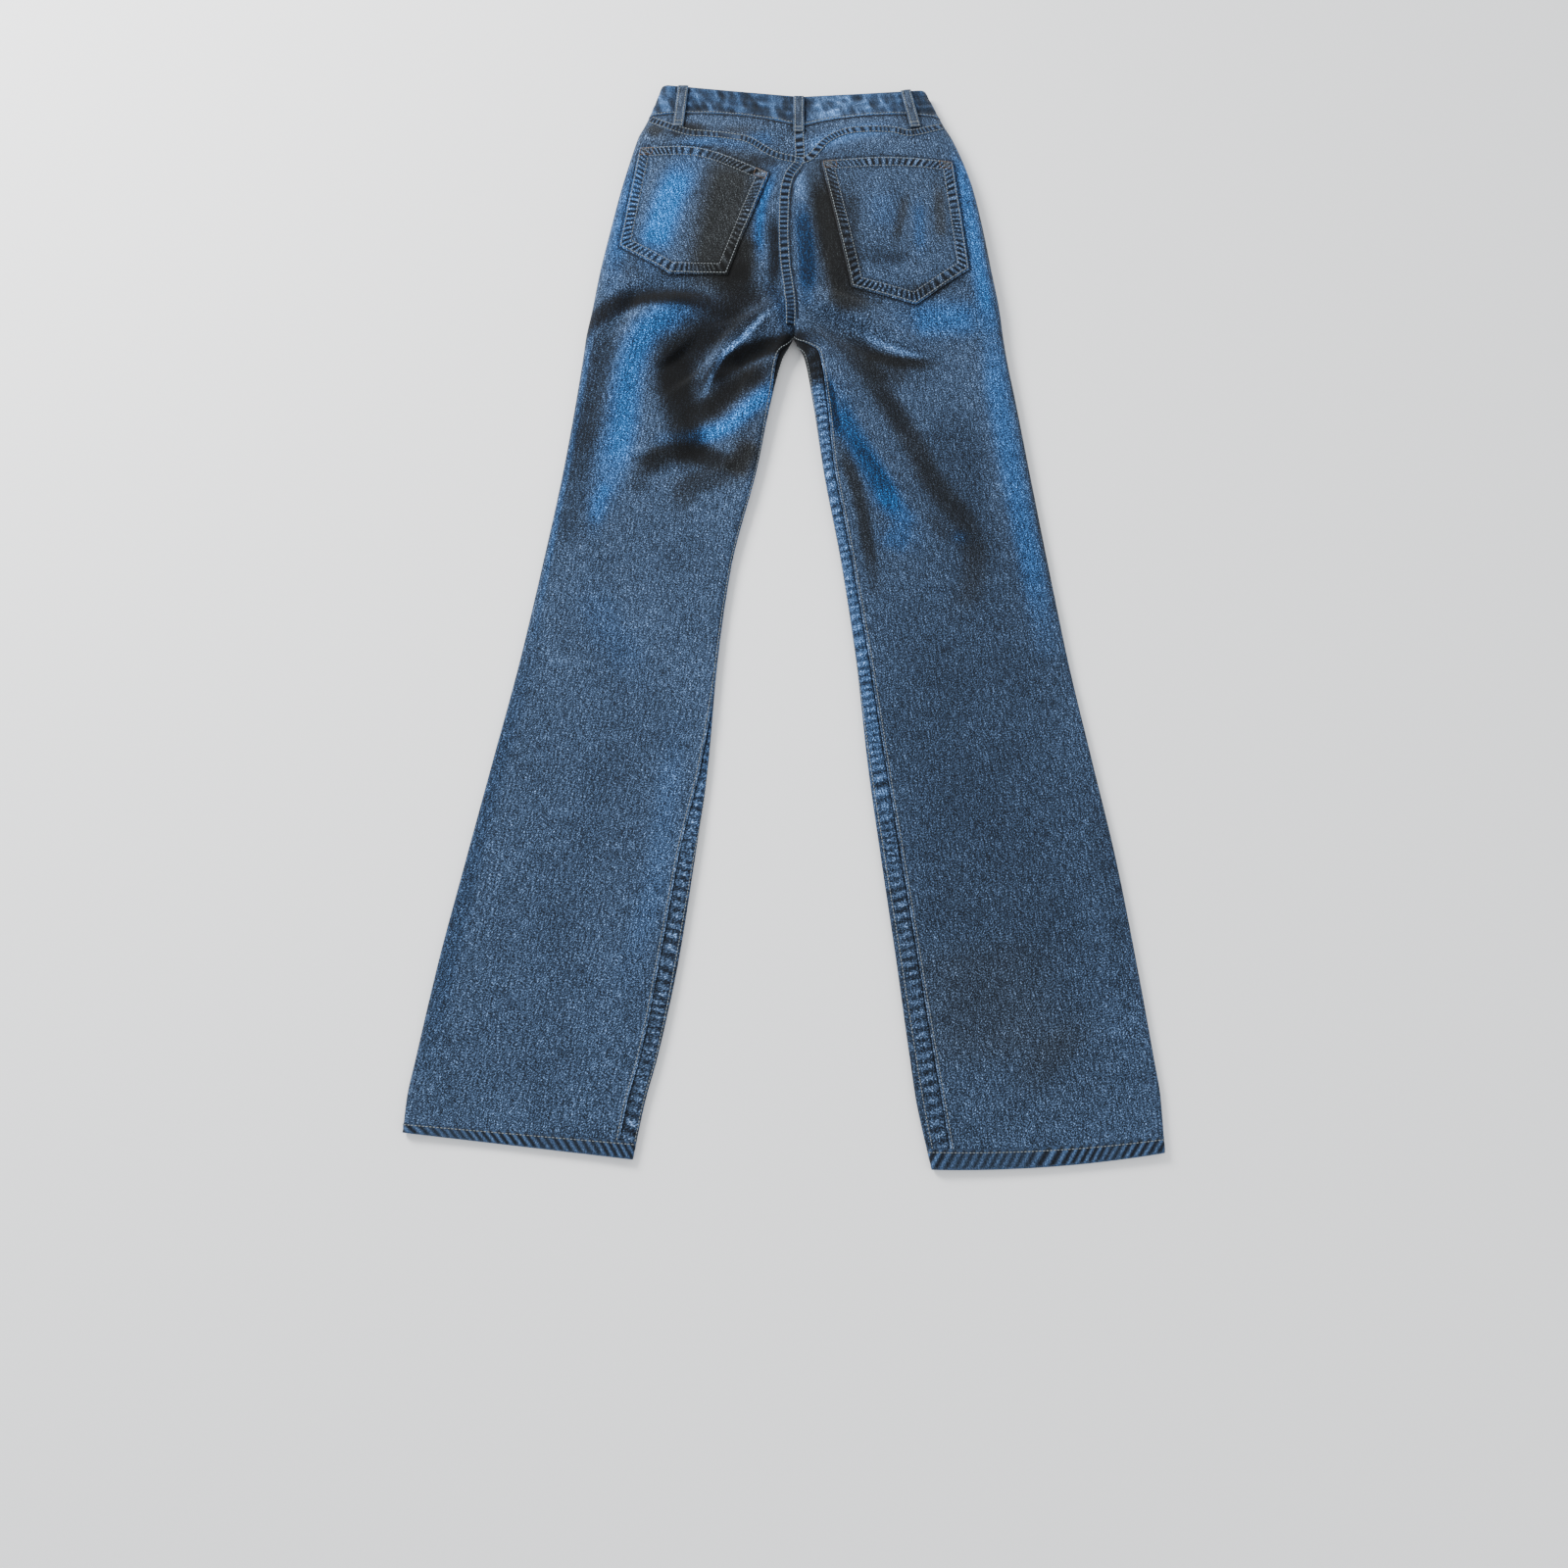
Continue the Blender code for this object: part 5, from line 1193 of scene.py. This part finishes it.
def lay_band():
    """The waistband, crinkled between its seams."""
    base, levels = band()
    normal = out_of(base, 1)
    run = lengths(base)
    high = levels[:, None] - WAIST_LINE + 0 * run
    slant = wander((run + 0.9 * high) / 0.0058, (high - 0.35 * run) / 0.024, 41)
    fine = 1 - 2 * np.sqrt(abs(wander((run + 1.1 * high) / 0.0085, (high - 0.4 * run) / 0.020, 43)))
    facing = np.clip(normal[..., 2] * 1.5, 0, 1)
    inside = ease(high / 0.004) * ease((0.0435 - high) / 0.004)
    rows = 0.00040 * np.sin(2 * pi * high / 0.012 + 1.3 * wander(run / 0.03, 0 * run, 45))
    crinkles = (0.00055 * slant + 0.00030 * fine + 0.6 * rows) * inside
    bead = 0.0004 * ease(1 - abs(high - 0.0012) / 0.0022) + 0.0003 * ease(1 - abs(high - 0.041) / 0.003)
    points = pushed(base, normal, crinkles * facing + bead * facing)
    # Crinkles: lighter on their ridges, darker in their folds, partly wear and partly painted light and
    # shade
    tone = BASE_TONE + 0.1 + 1.3 * slant * inside + 1.2 * fine * inside + 500 * rows * inside
    tone = tone + 1.6 * ease(1 - high / 0.0020) + 0.8 * ease(1 - (0.043 - high) / 0.0016)
    tone = tone - 1.0 * ease(1 - abs(high - 0.0042) / 0.0018)
    x, y = base[..., 0], base[..., 1]
    tone = tone + 0.9 * np.exp(-(((x - 0.065) / 0.05) ** 2)) - 0.4 * np.exp(-(((x + 0.05) / 0.05) ** 2))
    # Painted shadow beside the belt loops, on the faces that look up
    tone = tone - 0.8 * shadows_at(x, y) * facing
    mesh = cloth_mesh(points, tone, BASE_BLUE + 0.12 + 0.1 * slant, 1)
    row = int(np.argmin(abs(levels - WAIST_LINE - 0.0026)))
    stitch(points[row], normal[row])
    piece = place_piece("waistband_denim", mesh, BAND_DENIM, ["waistband"], BAND_CLOTH)
    return piece, base, points


def inset(corners, distance):
    """Corners of an outline moved in, its edges staying parallel."""
    middle = corners.mean(axis=0)
    result = []
    for k in range(len(corners)):
        here = corners[k]
        rows = []
        for other in (corners[k - 1], corners[(k + 1) % len(corners)]):
            run = (other - here) / np.linalg.norm(other - here)
            inward = np.array([-run[1], run[0]])
            rows.append(inward * np.sign(inward @ (middle - here)))
        result.append(here + np.linalg.solve(np.array(rows), np.array([distance, distance])))
    return np.array(result)


def ring(corners, distance, soft, step=0.0012):
    """The outline moved in, as even points; a soft corner is rounded off."""
    moved = inset(corners, distance)
    line = []
    starts = []
    for k in range(len(corners)):
        after = (k + 1) % len(corners)
        count = int(np.linalg.norm(corners[after] - corners[k]) / step)
        starts.append(len(line))
        line += list(moved[k] + np.outer(np.arange(count) / count, moved[after] - moved[k]))
    line = np.array(line)
    for corner in soft:
        near = (starts[corner] + np.arange(-26, 27)) % len(line)
        t = np.linspace(0, 1, len(near))[:, None]
        first, middle, last = line[near[0]], moved[corner], line[near[-1]]
        line[near] = (1 - t) ** 2 * first + 2 * t * (1 - t) * middle + t * t * last
    return np.concatenate([line, line[:1]])


def lay_pocket(name, corners, seed):
    """A patch pocket with its edges turned in, puckered between two rows of stitches."""
    corners = np.array(corners)
    insets = [0.0, 0.0003, 0.0010, 0.0020, 0.0034, 0.0050, 0.0068, 0.0086, 0.0102, 0.0116,
              0.0127, 0.0139, 0.0155]
    outs = [0.0001, 0.0013, 0.0021, 0.0019, 0.0021, 0.0022, 0.0022, 0.0022, 0.0021, 0.0018,
            0.0015, 0.0016, 0.0017]
    rings = [ring(corners, distance, (1,)) for distance in insets]
    heights = [np.full(len(rings[0]), out) for out in outs]
    deep = list(insets)
    last = rings[-1]
    middle = last.mean(axis=0)
    for share in np.linspace(0, 1, 34)[1:]:
        rings.append(last + (middle - last) * share)
        heights.append(np.full(len(last), 0.0017))
        deep.append(0.0155 + share)
    plan = np.array(rings)
    out = np.array(heights)
    deep = np.array(deep)[:, None]
    x, y = plan[..., 0], plan[..., 1]
    height, normal = LAID.under(x, y)
    run = lengths(np.pad(plan, ((0, 0), (0, 0), (0, 1)))[:1])
    waves = pucker(run + 0 * x, np.clip(deep, 0, 0.0155) / 0.022 + 0 * x, 0.0068, seed)
    border = ease((deep - 0.0016) / 0.0015) * ease((0.0122 - deep) / 0.0020)
    out = out + 0.00045 * waves * border
    points = np.stack([x, y, height], axis=-1) + normal * out[..., None]
    tone, blue = shading_and_fade_at(x, y)
    soft = wander(x / 0.020, y / 0.030, seed + 5)
    # Border puckers: paler crests from wear, troughs darkened further as painted shade
    tone = tone + 0.15 * soft + border * (1.5 * waves - 2.4 * np.clip(-waves, 0, 2) - 0.3)
    tone = tone + 1.5 * ease(1 - deep / 0.0014) - 1.1 * ease(1 - abs(deep - 0.0133) / 0.0013)
    cloth = np.stack([x * 0.96 + y * 0.28, y * 0.96 - x * 0.28], axis=-1)
    mesh = cloth_mesh(points, tone, blue, 1, cloth, closed=True)
    bmesh.ops.recalc_face_normals(mesh, faces=mesh.faces[:])
    if sum(face.normal.z for face in mesh.faces) < 0:
        bmesh.ops.reverse_faces(mesh, faces=mesh.faces[:])
    stitch(points[3], normal[3])
    stitch(points[9], normal[9], radius=0.00036, lift=0.0)
    for corner, side in ((0, -1), (2, 1)):
        here = corners[corner]
        top = corners[(corner + 1) % 6] if side < 0 else corners[1]
        down = corners[(corner - 1) % 6] if side < 0 else corners[3]
        first = (top - here) / np.linalg.norm(top - here)
        second = (down - here) / np.linalg.norm(down - here)
        marks = [(0.0016, 0.0016), (0.0150, 0.0016), (0.0150, 0.0100), (0.0016, 0.0100),
                 (0.0016, 0.0016)]
        for a, b in zip(marks[:-1], marks[1:]):
            tack(here, first, second, a, b)
        for k in range(3):
            tack(here, first, second, (0.0035, 0.0036 + 0.0022 * k), (0.0125, 0.0036 + 0.0022 * k),
                 tan=0.25)
    return place_piece(name + "_denim", mesh, POCKET_DENIM, [name], 0.0010), points


def tack(here, first, second, a, b, tan=1.0):
    """A tight row of thread at a pocket's corner."""
    share = np.linspace(0, 1, 12)[:, None]
    flat = here + first * (a[0] + (b[0] - a[0]) * share) + second * (a[1] + (b[1] - a[1]) * share)
    height, normal = LAID.under(flat[:, 0], flat[:, 1])
    line = np.stack([flat[:, 0], flat[:, 1], height + 0.0024], axis=-1)
    stitch(line, normal, pitch=0.0019, length=0.0017, radius=0.00030, tan=tan)


def lay_loop(name, top, bottom, seed):
    """A belt loop: a strap folded from denim, stitched along both edges and tacked down."""
    rows, columns = 40, 13
    top, bottom = np.array(top), np.array(bottom)
    run = top - bottom
    length = np.hypot(*run)
    sideways = np.array([run[1], -run[0]]) / length
    share = np.linspace(-0.01, 1.01, rows)[:, None]
    across = np.linspace(-1, 1, columns)[None]
    x = bottom[0] + run[0] * share + sideways[0] * across * LOOP_WIDTH / 2
    y = bottom[1] + run[1] * share + sideways[1] * across * LOOP_WIDTH / 2
    height, normal = DRESSED.under(x, y)
    crown = height.max(axis=1, keepdims=True)
    base = np.maximum(height, crown - 0.0010)
    for _ in range(12):
        base[1:-1] = np.maximum((base[:-2] + 2 * base[1:-1] + base[2:]) / 4, height[1:-1])
    clear = 0.0004 + 0.0010 * np.sin(pi * np.clip(share, 0, 1))
    body = LOOP_CLOTH * (1 - 0.30 * abs(across) ** 6)
    ends = 0.0006 * (ease(1 - abs(share - 0.07) / 0.07) + 0.5 * ease(1 - abs(share - 0.95) / 0.05))
    grain = wander(share * length / 0.006 + 0 * across, across * 1.5 + 0 * share + seed, seed)
    top_z = base + clear + body + ends + 0.00012 * grain
    points = np.stack([x, y, top_z], axis=-1)
    tone = BASE_TONE + 0.2 + 0.7 * grain + 1.5 * ease((abs(across) - 0.76) / 0.2)
    tone = tone - 0.35 * ease(1 - abs(abs(across) - 0.62) / 0.12) + 0.4 * ease(1 - abs(share) / 0.04)
    tone = tone - 0.5 * ease(1 - abs(share - 0.16) / 0.03)
    cloth = np.stack([across * LOOP_WIDTH / 2 + 0 * share, share * length + 0 * across], axis=-1)
    mesh = cloth_mesh(points, tone, 0.26 + 0 * tone, 1, cloth)
    bmesh.ops.recalc_face_normals(mesh, faces=mesh.faces[:])
    if sum(face.normal.z for face in mesh.faces) < 0:
        bmesh.ops.reverse_faces(mesh, faces=mesh.faces[:])
    up = np.zeros((rows, 3)) + np.array([0, 0, 1.0])
    for column in (2, columns - 3):
        stitch(points[:, column], up)
    for share_at in (0.03, 0.13):
        row = int(share_at * rows)
        stitch(points[row, 1:-1], up[:columns - 2], pitch=0.0016, length=0.0015)
    return place_piece(name + "_denim", mesh, BAND_DENIM, [name], LOOP_CLOTH * 0.8)


def lay_front_loop(name):
    """A strap under the front waistband, as flat as the cloth over it presses it."""
    low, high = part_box(name)
    size = high - low
    mesh = bmesh.new()
    tone_layer = mesh.verts.layers.float.new("tone")
    blue_layer = mesh.verts.layers.float.new("blue")
    cloth_map = mesh.loops.layers.uv.new("cloth")
    bmesh.ops.create_grid(mesh, x_segments=10, y_segments=40, size=0.5)
    for face in mesh.faces:
        for loop in face.loops:
            loop[cloth_map].uv = (loop.vert.co.x * size.x, loop.vert.co.y * size.y)
    for vert in mesh.verts:
        edge = abs(vert.co.x) * 2
        vert[tone_layer] = BASE_TONE + 1.1 * float(ease((edge - 0.8) / 0.2))
        vert[blue_layer] = 0.45
    bmesh.ops.scale(mesh, vec=(size.x, size.y, 1), verts=mesh.verts[:])
    middle = (low + high) / 2 - Vector(TO_MIDDLE)
    bmesh.ops.translate(mesh, vec=(middle.x, middle.y, low.z), verts=mesh.verts[:])
    bmesh.ops.reverse_faces(mesh, faces=mesh.faces[:])
    return place_piece(name + "_denim", mesh, BAND_DENIM, [name], size.z)


def lay_button():
    """The waist button: a dished brass disc with a rolled rim."""
    low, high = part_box("waist_button")
    middle = (low + high) / 2 - Vector(TO_MIDDLE)
    mesh = bmesh.new()
    bmesh.ops.create_circle(mesh, cap_ends=True, segments=48, radius=BUTTON_RADIUS)
    disc = mesh.faces[:]
    grown = bmesh.ops.extrude_face_region(mesh, geom=disc)
    lifted = [item for item in grown["geom"] if isinstance(item, bmesh.types.BMVert)]
    bmesh.ops.translate(mesh, vec=(0, 0, BUTTON_HEIGHT), verts=lifted)
    bmesh.ops.recalc_face_normals(mesh, faces=mesh.faces[:])
    under = [face for face in mesh.faces if face.normal.z < -0.9]
    bmesh.ops.inset_region(mesh, faces=under, thickness=0.0010, depth=0)
    under = [face for face in mesh.faces if face.normal.z < -0.9 and face.calc_area() > 1e-5]
    bmesh.ops.inset_region(mesh, faces=under, thickness=0.0006, depth=-0.0005)
    rims = [edge for edge in mesh.edges if edge.calc_length() > 0 and edge.is_manifold
            and edge.calc_face_angle(0) > 0.5]
    bmesh.ops.bevel(mesh, geom=rims, offset=0.0002, offset_type="OFFSET", segments=2,
                    profile=0.5, affect="EDGES", material=-1)
    bmesh.ops.translate(mesh, vec=(middle.x, middle.y, low.z), verts=mesh.verts[:])
    return place_piece("waist_button_brass", mesh, BRASS_PAINT, ["waist_button"])


def studio():
    """Pale floor, soft light from the upper left, and the camera at the photo's angle."""
    mesh = bmesh.new()
    bmesh.ops.create_grid(mesh, x_segments=1, y_segments=1, size=6)
    bmesh.ops.translate(mesh, vec=(0, 0, -0.0002), verts=mesh.verts[:])
    data = bpy.data.meshes.new("floor")
    mesh.to_mesh(data)
    mesh.free()
    floor = bpy.data.objects.new("floor", data)
    bpy.context.scene.collection.objects.link(floor)
    paint = bpy.data.materials.new("pale_floor")
    paint.use_nodes = True
    shader = paint.node_tree.nodes["Principled BSDF"]
    shader.inputs["Base Color"].default_value = (0.92, 0.92, 0.92, 1)
    shader.inputs["Roughness"].default_value = 0.9
    data.materials.append(paint)
    floor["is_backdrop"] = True
    world = bpy.data.worlds.new("studio")
    world.use_nodes = True
    world.node_tree.nodes["Background"].inputs["Color"].default_value = (0.93, 0.96, 1.0, 1)
    world.node_tree.nodes["Background"].inputs["Strength"].default_value = WORLD_LIGHT
    bpy.context.scene.world = world
    for name, place, size, power in LIGHTS:
        light = bpy.data.lights.new(name, "AREA")
        light.shape = "RECTANGLE"
        light.size, light.size_y = size
        light.energy = power
        lamp = bpy.data.objects.new(name, light)
        lamp.location = place
        lamp.rotation_euler = (-Vector(place)).to_track_quat("-Z", "Y").to_euler()
        bpy.context.scene.collection.objects.link(lamp)
    camera = bpy.data.cameras.new("camera")
    camera.lens = 33.75
    camera.sensor_width = 36
    camera.clip_start = 0.05
    shot = bpy.data.objects.new("camera", camera)
    shot.location = (0.0008, -0.5567, 1.3903)
    shot.rotation_euler = (radians(13.976), 0, 0)
    bpy.context.scene.collection.objects.link(shot)
    bpy.context.scene.camera = shot
    return floor


FORK_Y = 0.262
TWILL = twill_group()
INDIGO = indigo_group()
MOTTLE = mottle_group()
PANEL_DENIM = denim("panel_denim")
POCKET_DENIM = denim("pocket_denim", slant=0.75)
BAND_DENIM = denim("band_denim", slant=1.2, contrast=3.0)
SEAM_DENIM = denim("seam_denim", slant=0.6, contrast=2.8, wash=0.4)
THREAD = thread_paint("topstitch_thread")
BRASS_PAINT = brass_paint("button_brass")

floor = studio()
grids = {}
for side, table in (("left", LEFT), ("right", RIGHT)):
    grids[side] = back_and_yoke(side, table)
laid = {}
for side, table, sign in (("left", LEFT, 1), ("right", RIGHT, -1)):
    laid[side] = lay_back(side, table, sign, *grids[side])
LAID = Top([laid[side][part][1] for side in laid for part in ("back", "yoke")])
fronts = {}
for side, table, sign in (("left", LEFT, 1), ("right", RIGHT, -1)):
    fronts[side] = lay_front("front_" + side, side, table, sign)
    declare(fronts[side][1])
tops = []
for side, table, sign in (("left", LEFT, 1), ("right", RIGHT, -1)):
    hem_piece = lay_hem(side, table, sign)
    for part, paint in (("back", PANEL_DENIM), ("yoke", PANEL_DENIM)):
        mesh, points, normal, inner = laid[side][part]
        piece = place_piece(f"{part}_{side}_denim", mesh, paint, [f"{part}_{side}"], CLOTH)
        declare(grids[side][0 if part == "back" else 1])
        tops.append(points)
    pocket_piece, pocket_points = lay_pocket("pocket_" + side, POCKETS[side], 51 if sign > 0 else 61)
    seam_strip("yoke_seam_" + side, curved(YOKE_SEAMS[side]), 0.0098, 0.0052,
               71 if sign > 0 else 73)
band_piece, band_base, band_points = lay_band()
declare(band_base)
centre = [(smooth(LEFT, "in_x", level) - 0.0030, smooth(LEFT, "in_y", level))
          for level in np.array([0.842, 0.862, 0.885, 0.909, 0.93, 0.956, 0.98, 1.0, 1.019, 1.035,
                                 1.06, 1.083])]
seam_strip("centre_seam", curved(centre), 0.0122, 0.0058, 81)
DRESSED = Top(tops + [band_points])
for k, (name, (side, top, bottom)) in enumerate(BACK_LOOPS.items()):
    loop_piece = lay_loop(name, top, bottom, 91 + k)
for name in ("loop_front_left", "loop_front_right"):
    loop_piece = lay_front_loop(name)
lay_button()
sew()

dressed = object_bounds()
({"bare": [list(corner) for corner in bare],
           "dressed": [list(corner) for corner in dressed]})
